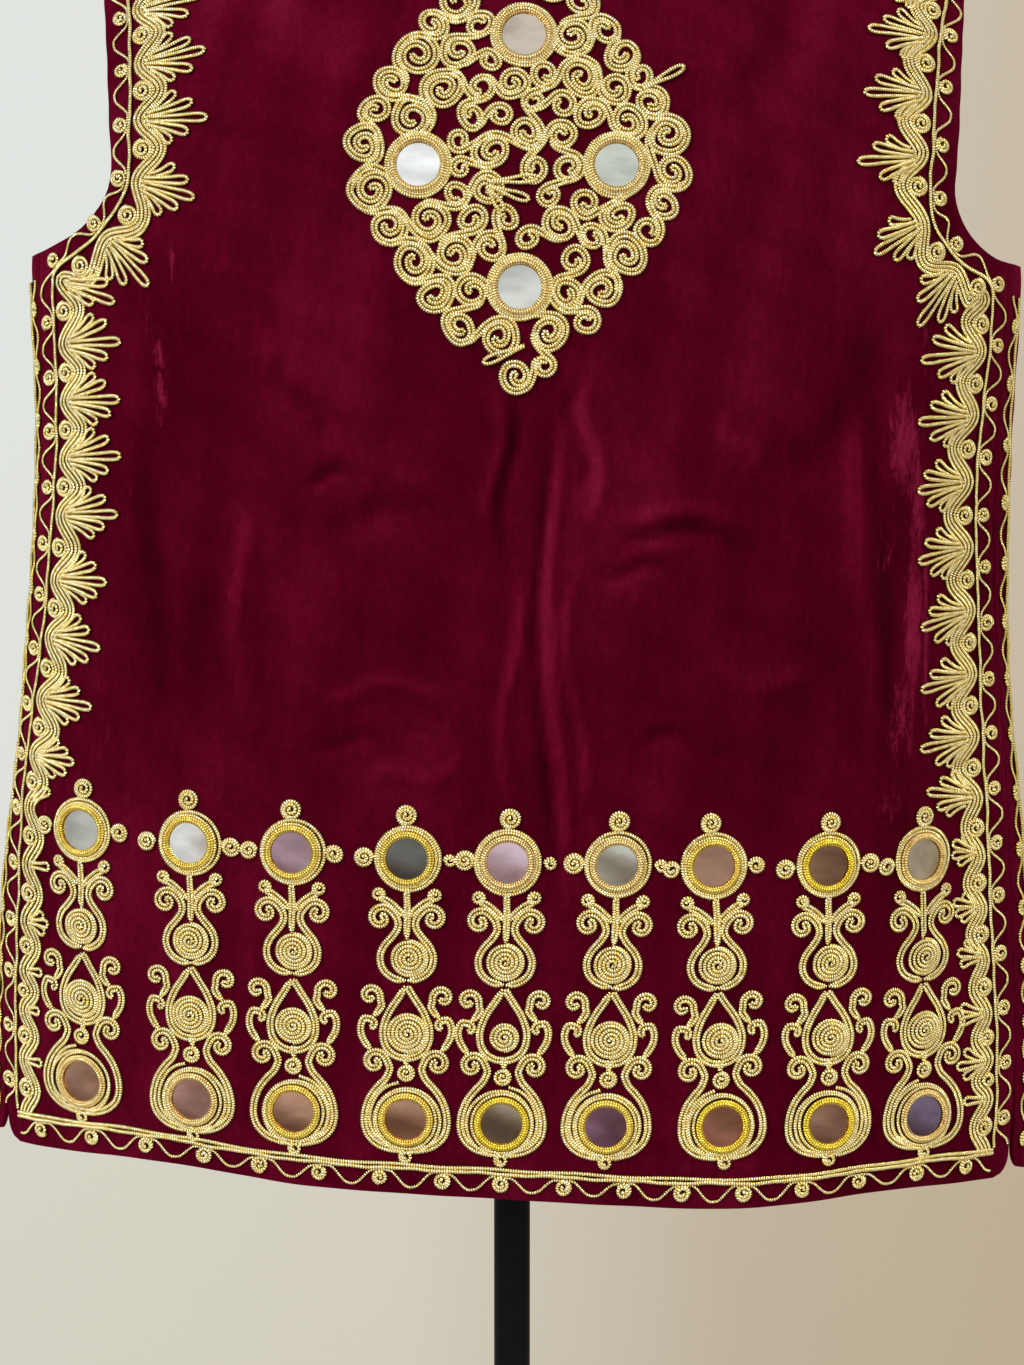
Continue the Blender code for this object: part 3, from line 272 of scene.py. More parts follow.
# Soft creases of the cloth: a line from one place to another, its half width and height.
Crease = namedtuple("Crease", "across up to_across to_up width height")
CREASES = (
    Crease(0.0150, 0.385, 0.0170, 0.130, 0.0034, -0.0015),
    Crease(0.0215, 0.380, 0.0225, 0.140, 0.0032, 0.0013),
    Crease(-0.0010, 0.390, -0.0005, 0.290, 0.0032, -0.0011),
    Crease(-0.0080, 0.385, -0.0060, 0.310, 0.0032, 0.0010),
    Crease(0.0010, 0.300, -0.0010, 0.180, 0.0030, 0.0011),
    Crease(0.0300, 0.385, 0.0310, 0.330, 0.0034, -0.0010),
    Crease(0.0370, 0.390, 0.0390, 0.315, 0.0034, 0.0009),
    Crease(0.0290, 0.305, 0.0320, 0.175, 0.0034, 0.0010),
    Crease(0.0420, 0.318, 0.1220, 0.309, 0.0044, -0.0014),
    Crease(0.0480, 0.325, 0.1200, 0.317, 0.0040, 0.0009),
    Crease(0.0340, 0.301, 0.0820, 0.295, 0.0042, -0.0012),
    Crease(0.0560, 0.222, 0.1060, 0.214, 0.0042, -0.0011),
    Crease(0.0880, 0.252, 0.1500, 0.244, 0.0060, 0.0010),
    Crease(-0.0980, 0.342, -0.0640, 0.337, 0.0040, -0.0012),
    Crease(-0.0960, 0.318, -0.0180, 0.326, 0.0080, -0.0012),
    Crease(-0.0900, 0.238, -0.0240, 0.241, 0.0042, 0.0009),
    Crease(-0.1000, 0.216, -0.0460, 0.212, 0.0042, -0.0008),
    Crease(-0.0700, 0.195, -0.0200, 0.207, 0.0042, 0.0008),
    Crease(-0.1100, 0.400, -0.0860, 0.350, 0.0044, -0.0011),
    Crease(0.0980, 0.372, 0.1160, 0.340, 0.0036, 0.0010),
    Crease(0.1900, 0.415, 0.1300, 0.330, 0.0110, -0.0013),
    Crease(-0.1750, 0.380, -0.1720, 0.200, 0.0070, -0.0014),
    Crease(0.1660, 0.400, 0.1780, 0.190, 0.0060, 0.0016),
    Crease(0.1790, 0.390, 0.1880, 0.200, 0.0050, -0.0013),
    Crease(-0.1280, 0.330, -0.1250, 0.210, 0.0050, 0.0012),
    Crease(0.3000, 0.400, 0.3100, 0.150, 0.0120, 0.0018),
    Crease(-0.3000, 0.410, -0.3150, 0.140, 0.0120, -0.0016),
    Crease(0.4200, 0.380, 0.4000, 0.100, 0.0100, -0.0018),
    Crease(-0.4200, 0.380, -0.4000, 0.100, 0.0100, 0.0018),
    Crease(0.5200, 0.300, 0.3800, 0.280, 0.0080, 0.0013),
    Crease(-0.5200, 0.290, -0.3900, 0.270, 0.0080, 0.0013),
    Crease(0.4700, 0.210, 0.3700, 0.222, 0.0070, -0.0012),
    Crease(-0.4900, 0.230, -0.4000, 0.214, 0.0070, -0.0012),
    Crease(-0.1200, 0.600, -0.0600, 0.520, 0.0120, 0.0012),
    Crease(0.1300, 0.600, 0.1100, 0.500, 0.0120, -0.0012),
)

FormRing = namedtuple("FormRing", "height half_width back_depth front_depth")
FORM_RINGS = (
    FormRing(0.06, 0.156, 0.096, 0.090),
    FormRing(0.10, 0.158, 0.099, 0.092),
    FormRing(0.16, 0.152, 0.094, 0.088),
    FormRing(0.23, 0.147, 0.090, 0.086),
    FormRing(0.30, 0.156, 0.093, 0.094),
    FormRing(0.37, 0.168, 0.099, 0.102),
    FormRing(0.44, 0.176, 0.102, 0.104),
)

FORM_UNDER = 0.0046            # from the shoulders' crest down to the form
FORM_NECK = 0.050              # radius of the form's neck
FORM_NECK_Y = 0.020
FLOOR_RADIUS = 1.6

# ---- rows and columns of the velvet panels ------------------------------------------
CLOTH_EDGE = 0.0006            # bevel of the cloth's cut edges
CORNER_ROWS = (0.0, 0.0015, 0.0035, 0.006, 0.009, 0.013)
SCOOP_ROWS = (0.01, 0.03, 0.06, 0.10, 0.15, 0.21, 0.28, 0.36, 0.45, 0.55, 0.66, 0.78, 0.9, 1.0)
BODY_ROWS = 118
SHOULDER_ROWS = 52
NECK_COLUMNS = 100
SHOULDER_COLUMNS = 34
FRONT_COLUMNS = 44

# ---- cord sizes ---------------------------------------------------------------------
CORD_RADIUS = 0.00103
CORD_STEP = 0.00140            # along a cord between its rings of points
CORD_SIDES = 6
CORD_TWIST = 0.0012            # between the bumps of the two plies
FINE_CORD = 0.00076            # radius of the thinner wavy cord
CORD_LIFT = 0.00080            # middle of a cord over the velvet
PAIR = 0.00197                 # between two cords laid side by side
BAND_PITCH = 0.0042            # between the turns of a spiral of two cords
COIL_PITCH = 0.00190           # between the turns of a coil
BAND = PAIR / 2 + CORD_RADIUS  # half the width of two cords side by side
CLOSING = 0.0035               # length over which two cords close up at their end
SINKING = 0.0030               # and over which they sink
SUNK = 0.0009                  # by this depth
COIL_EYE = 0.0007
COIL_RIM = 4.4                 # angle that a coil runs on round its rim, in radians
CURL_EYE = 1.1 * MM
OPEN_PITCH = BAND_PITCH + 0.25 * MM    # between the turns of the medallion's spirals
OPEN_RIM = 2.6                 # angle that they run on round their rim
LANDING = 0.9                  # and that their link runs on under the next one's rim
LANDING_DRAW = 1.6 * MM        # how far it draws in there
CIRCLE_STEPS = 60
TRIM_COILS = -4.9 * MM         # of the border's small coils, inward from the border cord
MEANDER_CORDS = 4
SHORT_PALMETTES_UP = 0.185     # below this the palmettes are short, and the meander swings less
SHORT_PALMETTE = 0.030         # shorter than this, seen from behind, its petals stand closer
SMALL_PALMETTE = 0.0225        # shorter than this on the cloth, its petals reach past its tip
SMALL_PALMETTE_LONGER = 4.4 * MM

# ---- mirrors ------------------------------------------------------------------------
COLUMN_MIRROR = 9.9 * MM       # radius inside the stitched ring
MEDALLION_MIRROR = 10.2 * MM
GLASS_CROWN = 1.75 * MM        # middle of the glass over the velvet
GLASS_BACK = 0.6 * MM


# ---- the cloth's surface ------------------------------------------------------------
def mix(low, high, share):
    """The value this share of the way from low to high."""
    return low + (high - low) * share


def smooth_step(value, low, high):
    """0 below low, 1 above high, and an S curve between them."""
    share = np.clip((value - low) / (high - low), 0.0, 1.0)
    return share * share * (3.0 - 2.0 * share)


def smooth_row(rows, key, column, value):
    """A named column of a table, read on a smooth curve through its rows."""
    keys = np.array([getattr(row, key) for row in rows])
    sizes = np.array([getattr(row, column) for row in rows])
    slopes = np.gradient(sizes, keys)
    index = np.clip(np.searchsorted(keys, value) - 1, 0, len(rows) - 2)
    gap = keys[index + 1] - keys[index]
    t = np.clip((value - keys[index]) / gap, 0.0, 1.0)
    start = (1 + 2 * t) * (1 - t) ** 2 * sizes[index] + t * (1 - t) ** 2 * gap * slopes[index]
    end = t * t * (3 - 2 * t) * sizes[index + 1] - t * t * (1 - t) * gap * slopes[index + 1]
    return start + end


def read_columns(places, keys, values):
    """Every column of values, read at new places between the keys."""
    return np.stack([np.interp(places, keys, column) for column in values.T], axis=1)


def side_name(side):
    """The word for a side in names and tables."""
    return "left" if side < 0 else "right"


def crest_height(x):
    """Height over the hem of the shoulders' crest."""
    return NECK_HEIGHT - SHOULDER_SLOPE * np.hypot(x, CREST_ROUND)


def ring_points(angle, height, turn):
    """Points of the cloth's rings: angle 0 is the centre back, turn runs up to the crest."""
    left = smooth_row(RINGS, "height", "left_width", height)
    right = smooth_row(RINGS, "height", "right_width", height)
    x = np.where(angle < 0, left, right) * np.sin(angle)
    back = smooth_row(RINGS, "height", "back_depth", height)
    front = smooth_row(RINGS, "height", "front_depth", height)
    on_back = np.cos(angle) > 0
    y = -np.where(on_back, back, front) * np.cos(angle) * np.cos(turn)
    fold = SIDE_FOLD
    inward = smooth_step(x, fold.start, fold.deepest) - smooth_step(x, fold.deepest, fold.end)
    above = smooth_step(height, fold.high_full, fold.high)
    reach = smooth_step(height, fold.low, fold.low_full) - above
    y = y + np.where(on_back, fold.depth * inward * reach, 0.0)
    rise = (crest_height(x) - SHOULDER_START) * np.sin(turn)
    lean = LEAN * (1.0 - smooth_step(height, LEAN_FULL, LEAN_NONE))
    z = HEM_Z + height + rise - lean * x
    return np.stack([x, y, z], axis=-1)


def creased(across, up):
    """How far the cloth stands out of its smooth form: its creases and a gentle unevenness."""
    lift = 0.0005 * np.sin(across * 61 + 1.0) * np.sin(up * 47 + 2.0)
    lift = lift + 0.0004 * np.sin(across * 137 + up * 88) * np.sin(up * 121 - across * 35 + 0.6)
    for crease in CREASES:
        start = np.array([crease.across, crease.up])
        along = np.array([crease.to_across, crease.to_up]) - start
        length = np.hypot(*along)
        along = along / length
        da, du = across - start[0], up - start[1]
        share = (da * along[0] + du * along[1]) / length
        bend = 0.004 * np.sin(share * 7.0 + crease.across * 90)
        aside = da * along[1] - du * along[0] + bend
        ends = smooth_step(share, 0.0, 0.25) * (1.0 - smooth_step(share, 0.75, 1.0))
        lift = lift + crease.height * ends * np.exp(-(aside / crease.width) ** 2)
    return lift


def painted_crease_light(across, up):
    """Painted crease light, 0 to 1: lighter on the ridges and on the sides of the creases that face
    the light, darker in their troughs and on their other sides.
    """
    small = 0.0015
    sideways = (creased(across + small, up) - creased(across - small, up)) / (2 * small)
    rising = (creased(across, up + small) - creased(across, up - small)) / (2 * small)
    return np.clip(0.5 + 0.85 * sideways - 0.75 * rising + 130.0 * creased(across, up), 0.0, 1.0)


class Cloth:
    """The garment's surface, read by its cloth sizes across and up."""

    STEP = 0.004               # between the places it is stored at
    LOWEST = -0.03
    REACH = 0.66               # furthest across
    RING_STEPS = 720
    CREST_STEPS = 60
    WRAP = math.radians(230.0)  # a ring's angle each way from the centre back
    FOUND_ROUNDS = 14          # of the search in under()
    FURTHEST_STEP = 0.03

    def __init__(self):
        heights = np.arange(self.LOWEST, SHOULDER_START, self.STEP)
        turns = np.linspace(0.0, math.pi / 2, self.CREST_STEPS)
        rows = np.concatenate([heights, np.full(len(turns), SHOULDER_START)])
        turned = np.concatenate([np.zeros(len(heights)), turns])
        angles = np.linspace(-self.WRAP, self.WRAP, self.RING_STEPS + 1)
        points = ring_points(angles[None, :], rows[:, None], turned[:, None])
        middle = self.RING_STEPS // 2
        rise = np.linalg.norm(np.diff(points[:, middle], axis=0), axis=1)
        row_up = self.LOWEST + np.concatenate([[0.0], np.cumsum(rise)])
        runs = np.linalg.norm(np.diff(points, axis=1), axis=-1)
        lengths = np.concatenate([np.zeros((len(points), 1)), np.cumsum(runs, axis=1)], axis=1)
        lengths -= lengths[:, middle:middle + 1]
        self.top = float(row_up[-1])
        self.up = np.append(np.arange(self.LOWEST, self.top - self.STEP / 4, self.STEP), self.top)
        self.across = np.linspace(-self.REACH, self.REACH, int(2 * self.REACH / self.STEP) + 1)
        self.half_girths = {}
        for side in SIDES:
            half = [abs(np.interp(side * math.pi, angles, length)) for length in lengths]
            self.half_girths[side] = np.interp(self.up, row_up, half)
        spaced = [read_columns(self.across, *ring).ravel() for ring in zip(lengths, points)]
        self.points = read_columns(self.up, row_up, np.array(spaced)).reshape(len(self.up), -1, 3)
        normals = np.cross(np.gradient(self.points, axis=1), np.gradient(self.points, axis=0))
        self.normals = normals / np.linalg.norm(normals, axis=-1, keepdims=True)

    def half_girth(self, up, side):
        """Length across from the centre back to the centre front, round the left or right."""
        return float(np.interp(up, self.up, self.half_girths[side]))

    def read(self, across, up):
        """Points and normals of the smooth form."""
        column = np.interp(across, self.across, np.arange(len(self.across)))
        row = np.interp(up, self.up, np.arange(len(self.up)))
        i = np.minimum(row.astype(int), len(self.up) - 2)
        j = np.minimum(column.astype(int), len(self.across) - 2)
        s, t = (row - i)[:, None], (column - j)[:, None]
        found = []
        for field in (self.points, self.normals):
            low = field[i, j] * (1 - t) + field[i, j + 1] * t
            high = field[i + 1, j] * (1 - t) + field[i + 1, j + 1] * t
            found.append(low * (1 - s) + high * s)
        points, normals = found
        return points, normals / np.linalg.norm(normals, axis=1, keepdims=True)

    def place(self, across, up, lift=0.0):
        """Points of the creased cloth at these sizes, moved out by lift, and their normals."""
        across, up = np.atleast_1d(across).astype(float), np.atleast_1d(up).astype(float)
        points, normals = self.read(across, up)
        out = np.broadcast_to(lift, across.shape) + creased(across, up)
        return points + normals * out[:, None], normals

    def behind(self, across, up):
        """Flat places (x, height over the hem) of the smooth form, as seen from behind."""
        points, _ = self.read(np.atleast_1d(across).astype(float), np.atleast_1d(up).astype(float))
        return np.stack([points[:, 0], points[:, 2] - HEM_Z], axis=1)

    def under(self, flat):
        """Cloth sizes under flat places: the reverse of behind(), for the back."""
        x, z = flat[:, 0], flat[:, 1]
        across, up = x * 1.05, z.copy()
        small, furthest = 0.001, self.FURTHEST_STEP
        for _ in range(self.FOUND_ROUNDS):
            here = self.behind(across, up)
            slope_x = (self.behind(across + small, up)[:, 0] - here[:, 0]) / small
            slope_z = (self.behind(across, up + small)[:, 1] - here[:, 1]) / small
            step = (x - here[:, 0]) / np.maximum(slope_x, 0.25)
            climb = (z - here[:, 1]) / np.maximum(slope_z, 0.25)
            across = np.clip(across + np.clip(step, -furthest, furthest), -0.30, 0.30)
            up = np.clip(up + np.clip(climb, -furthest, furthest), -0.02, self.top)
        return across, up


cloth = Cloth()


# ---- the panels' edges --------------------------------------------------------------
def underarm_height(side):
    """Height of the corner between the side seam and the armhole."""
    return UNDERARM_LEFT if side < 0 else UNDERARM_RIGHT


def seam_across(up, side):
    """Centre back to the side seam."""
    return float(smooth_row(SIDE_SEAMS, "up", side_name(side), up))


def hem_height(across):
    """The hem's gentle waves, over its level at the centre back."""
    return float(smooth_row(HEM_CURVE, "across", "up", across))


def corner_inset(rise):
    """How far the rounded hem corner draws in at this height over the hem."""
    drop = min(max(HEM_CORNER - rise, 0.0), HEM_CORNER)
    return HEM_CORNER - math.sqrt(HEM_CORNER ** 2 - drop ** 2)


def vent_inset(rise):
    """How far a panel's edge draws back in the side vent."""
    return VENT_SPREAD / 2 * float(smooth_step(VENT_HEIGHT - rise, 0.0, VENT_HEIGHT))


def armhole_share(up, underarm, height):
    """Share of the way in from the side seam to the armhole's straight edge."""
    left = 1.0 - min(max((up - underarm) / height, 0.0), 1.0)
    return (1.0 - left ** SCOOP_POWER) ** (1.0 / SCOOP_POWER)


def armhole_across(up, side):
    """Centre back to the armhole's straight edge."""
    straight = ARMHOLE_LEFT if side < 0 else ARMHOLE_RIGHT
    return straight + ARMHOLE_FLARE * (up - underarm_height(side))


def side_edge(up, side):
    """Centre back to the side seam, and how far a panel's edge stays back from it."""
    seam = seam_across(up, side)
    rise = up - hem_height(side * seam)
    return seam, SEAM_GAP / 2 + corner_inset(rise) + vent_inset(rise)


def back_edge(up, side):
    """The back panel's edge: the side seam, and the armhole above it."""
    underarm = underarm_height(side)
    seam, inset = side_edge(min(up, underarm), side)
    share = armhole_share(up, underarm, BACK_SCOOP)
    return side * mix(seam - inset, armhole_across(up, side), share)


def front_distance(up, side):
    """Centre front to the front panel's edge at the side seam or the armhole."""
    underarm = underarm_height(side)
    low = min(up, underarm)
    seam, inset = side_edge(low, side)
    tip = armhole_across(cloth.top, side)
    climb = max(up - underarm, 0.0) / (cloth.top - underarm)
    straight = mix(FRONT_CHEST, tip, climb ** 2)
    share = armhole_share(up, underarm, FRONT_SCOOP)
    return mix(cloth.half_girth(low, side) - seam - inset, straight, share)


def crest_up(across):
    """Height of a panel's edge at the shoulder seam, for an even gap along the seam."""
    reach = min(abs(across) / SHOULDER_REACH, 0.9)
    return cloth.top - SEAM_GAP / 2 / math.sqrt(1.0 - reach * reach)


def front_edge(up, hem):
    """Centre front to a front's inner edge, which leans out above the foot of the vee."""
    climb = max(up - VEE_FOOT, 0.0) / (cloth.top - VEE_FOOT)
    return mix(FRONT_OPENING / 2 + corner_inset(up - hem), NECK_HALF_WIDTH, climb)


# ---- materials ----------------------------------------------------------------------
class Tree:
    """Short calls for the nodes of a material or of the room."""

    MIX_INPUTS = (0, 6, 7)     # the factor and the two colours of a Mix node
    MIX_OUTPUT = 2

    def __init__(self, owner):
        owner.use_nodes = True
        self.tree = owner.node_tree

    def feed(self, socket, value):
        """Link an output socket into a socket, or set it to a value."""
        if isinstance(value, bpy.types.NodeSocket):
            self.tree.links.new(value, socket)
        else:
            socket.default_value = value

    def node(self, kind, inputs=(), **settings):
        """A node with its settings; inputs are (socket, value or output socket)."""
        node = self.tree.nodes.new(kind)
        for setting, value in settings.items():
            setattr(node, setting, value)
        for socket, value in inputs:
            self.feed(node.inputs[socket], value)
        return node

    def ramp(self, value, *stops):
        """A colour ramp; stops are (position, linear colour)."""
        node = self.node("ShaderNodeValToRGB", [("Fac", value)])
        elements = node.color_ramp.elements
        while len(elements) < len(stops):
            elements.new(0.5)
        for element, (position, colour) in zip(elements, stops):
            element.position = position
            element.color = (*colour, 1.0)
        return node.outputs[0]

    def blend(self, share, low, high, kind="MIX"):
        """Two colours mixed."""
        inputs = zip(self.MIX_INPUTS, (share, low, high))
        node = self.node("ShaderNodeMix", inputs, data_type="RGBA", blend_type=kind)
        return node.outputs[self.MIX_OUTPUT]


class Material(Tree):
    """A material made of procedural nodes."""

    def __init__(self, name, roughness, metallic=0.0, **sockets):
        self.made = bpy.data.materials.new(name)
        super().__init__(self.made)
        self.shader = self.tree.nodes["Principled BSDF"].inputs
        for socket, value in dict(Roughness=roughness, Metallic=metallic, **sockets).items():
            self.shader[socket.replace("_", " ")].default_value = value

    def place(self, scale, move=(0, 0, 0)):
        """Object coordinates in metres, stretched by scale and then moved."""
        where = self.node("ShaderNodeTexCoord").outputs["Object"]
        inputs = [("Vector", where), ("Scale", scale), ("Location", move)]
        return self.node("ShaderNodeMapping", inputs).outputs[0]

    def noise(self, scale, detail=3.0, stretch=(1, 1, 1), roughness=0.55):
        """A noise pattern's strength, with features about one over scale in metres."""
        inputs = [("Vector", self.place(stretch)), ("Scale", scale), ("Detail", detail),
                  ("Roughness", roughness)]
        return self.node("ShaderNodeTexNoise", inputs).outputs[0]

    def math(self, operation, *values):
        """One sum."""
        return self.node("ShaderNodeMath", enumerate(values), operation=operation).outputs[0]

    def total(self, first, *others):
        """The sum of patterns, each with its share."""
        found = self.math("MULTIPLY", *first)
        for value, share in others:
            found = self.math("MULTIPLY_ADD", value, share, found)
        return found

    def colour(self, output):
        """Use a pattern as the colour."""
        self.feed(self.shader["Base Color"], output)

    def bump(self, height, distance, strength=1.0, **under):
        """Relief of this depth in metres; returns the normal for another on top."""
        inputs = [("Height", height), ("Distance", distance), ("Strength", strength)]
        normal = self.node("ShaderNodeBump", inputs + list(under.items())).outputs[0]
        self.feed(self.shader["Normal"], normal)
        return normal


def grey(level):
    """A neutral linear colour."""
    return (level, level, level)


# Crush marks in the nap, partly painted sheen: middle in metres, half sizes, and how bright the nap
# lies there.
CrushAndSheenSpot = namedtuple("CrushAndSheenSpot", "x z half_x half_z strength")
CRUSH_AND_SHEEN_SPOTS = (
    CrushAndSheenSpot(0.188, 1.158, 0.013, 0.036, 1.00),
    CrushAndSheenSpot(0.195, 1.130, 0.008, 0.050, 0.85),
    CrushAndSheenSpot(0.193, 1.072, 0.009, 0.052, 1.00),
    CrushAndSheenSpot(0.187, 1.028, 0.013, 0.042, 0.80),
    CrushAndSheenSpot(0.201, 1.070, 0.004, 0.095, 0.80),
    CrushAndSheenSpot(0.180, 1.105, 0.032, 0.075, 0.56),
    CrushAndSheenSpot(0.180, 0.985, 0.016, 0.028, 0.66),
    CrushAndSheenSpot(0.197, 1.215, 0.005, 0.050, 0.70),
    CrushAndSheenSpot(-0.166, 1.188, 0.006, 0.042, 0.90),
    CrushAndSheenSpot(-0.159, 1.240, 0.003, 0.020, 0.80),
    CrushAndSheenSpot(-0.1725, 1.214, 0.003, 0.026, 0.70),
    CrushAndSheenSpot(-0.184, 1.130, 0.008, 0.045, 0.66),
    CrushAndSheenSpot(-0.130, 1.085, 0.014, 0.075, 0.50),
    CrushAndSheenSpot(-0.236, 1.010, 0.010, 0.100, 0.75),
    CrushAndSheenSpot(-0.200, 1.030, 0.012, 0.060, 0.55),
    CrushAndSheenSpot(0.015, 1.060, 0.080, 0.110, 0.36),
    CrushAndSheenSpot(0.080, 1.130, 0.080, 0.050, 0.34),
    CrushAndSheenSpot(-0.150, 0.862, 0.050, 0.030, 0.42),
    CrushAndSheenSpot(0.060, 0.905, 0.120, 0.030, 0.34),
)
# colour of the crush marks and the painted sheen
CRUSH_AND_SHEEN_COLOUR = (0.190, 0.0090, 0.0380, 1.0)
CRUSH_AND_SHEEN_LEVEL = 1.86           # how much of spots, flecks and streaks shows as crush marks and painted sheen


def crush_and_sheen_places(mat):
    """How strong the crush marks and painted sheen are: each spot's strength, falling off to its
    rim.
    """
    crush_and_sheen = 0.0
    for spot in CRUSH_AND_SHEEN_SPOTS:
        scale = (1.0 / spot.half_x, 0.0, 1.0 / spot.half_z)
        local = mat.place(scale, (-spot.x / spot.half_x, 0.0, -spot.z / spot.half_z))
        far = mat.node("ShaderNodeVectorMath", [(0, local)], operation="LENGTH").outputs["Value"]
        near = mat.math("MAXIMUM", mat.math("SUBTRACT", 1.0, far), 0.0)
        near = mat.math("MULTIPLY", mat.math("POWER", near, 0.5), spot.strength)
        crush_and_sheen = mat.math("MAXIMUM", near, crush_and_sheen)
    return crush_and_sheen


def velvet_material(name):
    """Burgundy velvet: a matte nap, brighter at crush marks and painted sheen, with painted light
    and shade along its creases.
    """
    mat = Material(name, 0.95, Sheen_Weight=0.30, Sheen_Roughness=0.30,
                   Sheen_Tint=(0.80, 0.040, 0.15, 1.0), Specular_IOR_Level=0.0)
    patches = mat.noise(8.0, 5.0, (1.0, 1.0, 0.55), 0.6)
    streaks = mat.noise(52.0, 7.0, (1.0, 1.0, 0.26), 0.74)
    nap = mat.noise(1100.0, 2.0)
    weave = mat.noise(320.0, 3.0, (1.0, 1.0, 0.6), 0.6)
    flecks = mat.noise(320.0, 7.0, (1.0, 1.0, 0.34), 0.82)
    base = mat.ramp(mat.total((patches, 0.70), (streaks, 0.30)), (0.36, (0.038, 0.0003, 0.0044)),
                    (0.50, (0.057, 0.0006, 0.0068)), (0.64, (0.080, 0.0016, 0.0110)))
    # Painted light and shade along the creases: the nap attribute lightens and darkens the colour.
    crease_light = mat.node("ShaderNodeAttribute", attribute_name="nap").outputs["Fac"]
    painted_crease_shading = mat.ramp(crease_light, (0.10, (0.50, 0.40, 0.44)), (0.50, grey(1.0)),
                          (0.90, (1.75, 3.6, 2.1)))
    base = mat.blend(1.0, base, painted_crease_shading, "MULTIPLY")
    # Crush marks and painted sheen: spots, streaks and flecks lighten the colour.
    crush_and_sheen_amount = mat.math("ADD", crush_and_sheen_places(mat), mat.total((streaks, 0.9), (flecks, 1.7)))
    lit = mat.ramp(mat.math("SUBTRACT", crush_and_sheen_amount, CRUSH_AND_SHEEN_LEVEL),
                   (0.04, grey(0.0)), (0.24, grey(0.55)), (0.60, grey(1.0)))
    shown = mat.blend(lit, base, CRUSH_AND_SHEEN_COLOUR)
    grain = mat.ramp(mat.total((nap, 0.5), (weave, 0.5)),
                     (0.34, (0.76, 0.72, 0.74)), (0.66, (1.22, 1.3, 1.26)))
    mat.colour(mat.blend(1.0, shown, grain, "MULTIPLY"))
    fine = mat.bump(nap, 0.0004, 0.30)
    crinkle = mat.noise(130.0, 6.0, (1.5, 1.0, 0.24), 0.68)
    mat.bump(mat.ramp(crinkle, (0.35, grey(0)), (0.65, grey(1))), 0.0014, 0.50, Normal=fine)
    return mat.made


def cord_material(name, light, middle, dark, metallic, roughness, slant=0.0):
    """Metal-wrapped cord of two plies, read along and round the cord: painted highlight on its
    crown, painted shade on its flanks and between the plies.

    slant 1 twists the plies round each other, and 0 leaves rings round the cord."""
    mat = Material(name, roughness, metallic)
    where = mat.node("ShaderNodeUVMap", uv_map="rope").outputs[0]
    along, round_it = mat.node("ShaderNodeSeparateXYZ", [(0, where)]).outputs[:2]
    phase = mat.math("MULTIPLY_ADD", round_it, slant, along)
    ply = mat.math("ABSOLUTE", mat.math("SINE", mat.math("MULTIPLY", phase, math.pi)))
    # Painted highlight on the crown and painted shade on the flanks; ply adds painted shade in the
    # grooves between the plies.
    facing = mat.math("COSINE", mat.math("MULTIPLY", round_it, 2 * math.pi))
    crown = mat.math("MULTIPLY_ADD", facing, 0.5, 0.5)
    tone = mat.noise(620.0, 4.0, roughness=0.75)
    shade = mat.total((tone, 0.62), (ply, 0.26), (crown, 0.42))
    mat.colour(mat.ramp(shade, (0.58, dark), (0.80, middle), (0.98, light)))
    wrap = mat.math("MULTIPLY", mat.math("MULTIPLY_ADD", along, 4.0, round_it), 6.0)
    fine = mat.bump(mat.math("SINE", wrap), 0.00005, 0.6)
    mat.bump(ply, 0.00070, 1.0, Normal=fine)
    return mat.made


GOLD = cord_material("gold_cord", (1.0, 0.98, 0.74), (0.94, 0.68, 0.08), (0.21, 0.110, 0.001),
                     0.95, 0.25, slant=1.0)
BULLION_LOOKS = {
    "bright": ((1.0, 0.90, 0.16), (0.92, 0.62, 0.012), (0.36, 0.19, 0.002), 0.90, 0.26),
    "yellow": ((1.0, 0.88, 0.26), (0.88, 0.58, 0.045), (0.30, 0.16, 0.004), 0.90, 0.28),
    "pale": ((1.0, 0.90, 0.50), (0.84, 0.53, 0.11), (0.26, 0.125, 0.006), 0.90, 0.30),
}
BULLION = {name: cord_material(name + "_bullion", *look) for name, look in BULLION_LOOKS.items()}
# Colours painted into the mirrors as reflections of their surroundings.
MIRROR_REFLECTIONS = {
    "silver": (0.38, 0.38, 0.35), "white": (0.71, 0.72, 0.71), "mauve": (0.32, 0.21, 0.25),
    "slate": (0.12, 0.12, 0.11), "lilac": (0.54, 0.40, 0.46), "sage": (0.46, 0.48, 0.42),
    "brown": (0.34, 0.20, 0.14), "umber": (0.18, 0.10, 0.06), "clear": (0.38, 0.32, 0.23),
    "rose": (0.48, 0.29, 0.25), "copper": (0.43, 0.25, 0.17), "olive": (0.29, 0.24, 0.18),
    "purple": (0.26, 0.15, 0.23), "russet": (0.37, 0.18, 0.12), "plum": (0.15, 0.11, 0.17),
    "blush": (0.40, 0.35, 0.29), "bright": (0.46, 0.47, 0.43),
}


def glass_material(name, reflected_colour):
    """Hand-cut mirror glass: its colour is a painted reflection of the surroundings, uneven with
    the silvering and with a soft painted streak.
    """
    mat = Material(name, 0.06, 1.0)
    cloud = mat.noise(75.0, 3.0, (0.45, 1.0, 1.0))
    light = tuple(min(part * 1.18, 1.0) for part in reflected_colour)
    dark = tuple(part * 0.80 for part in reflected_colour)
    mat.colour(mat.ramp(cloud, (0.36, dark), (0.52, reflected_colour), (0.66, light)))
    mat.bump(mat.noise(60.0, 2.0), 0.0006, 0.30)
    return mat.made


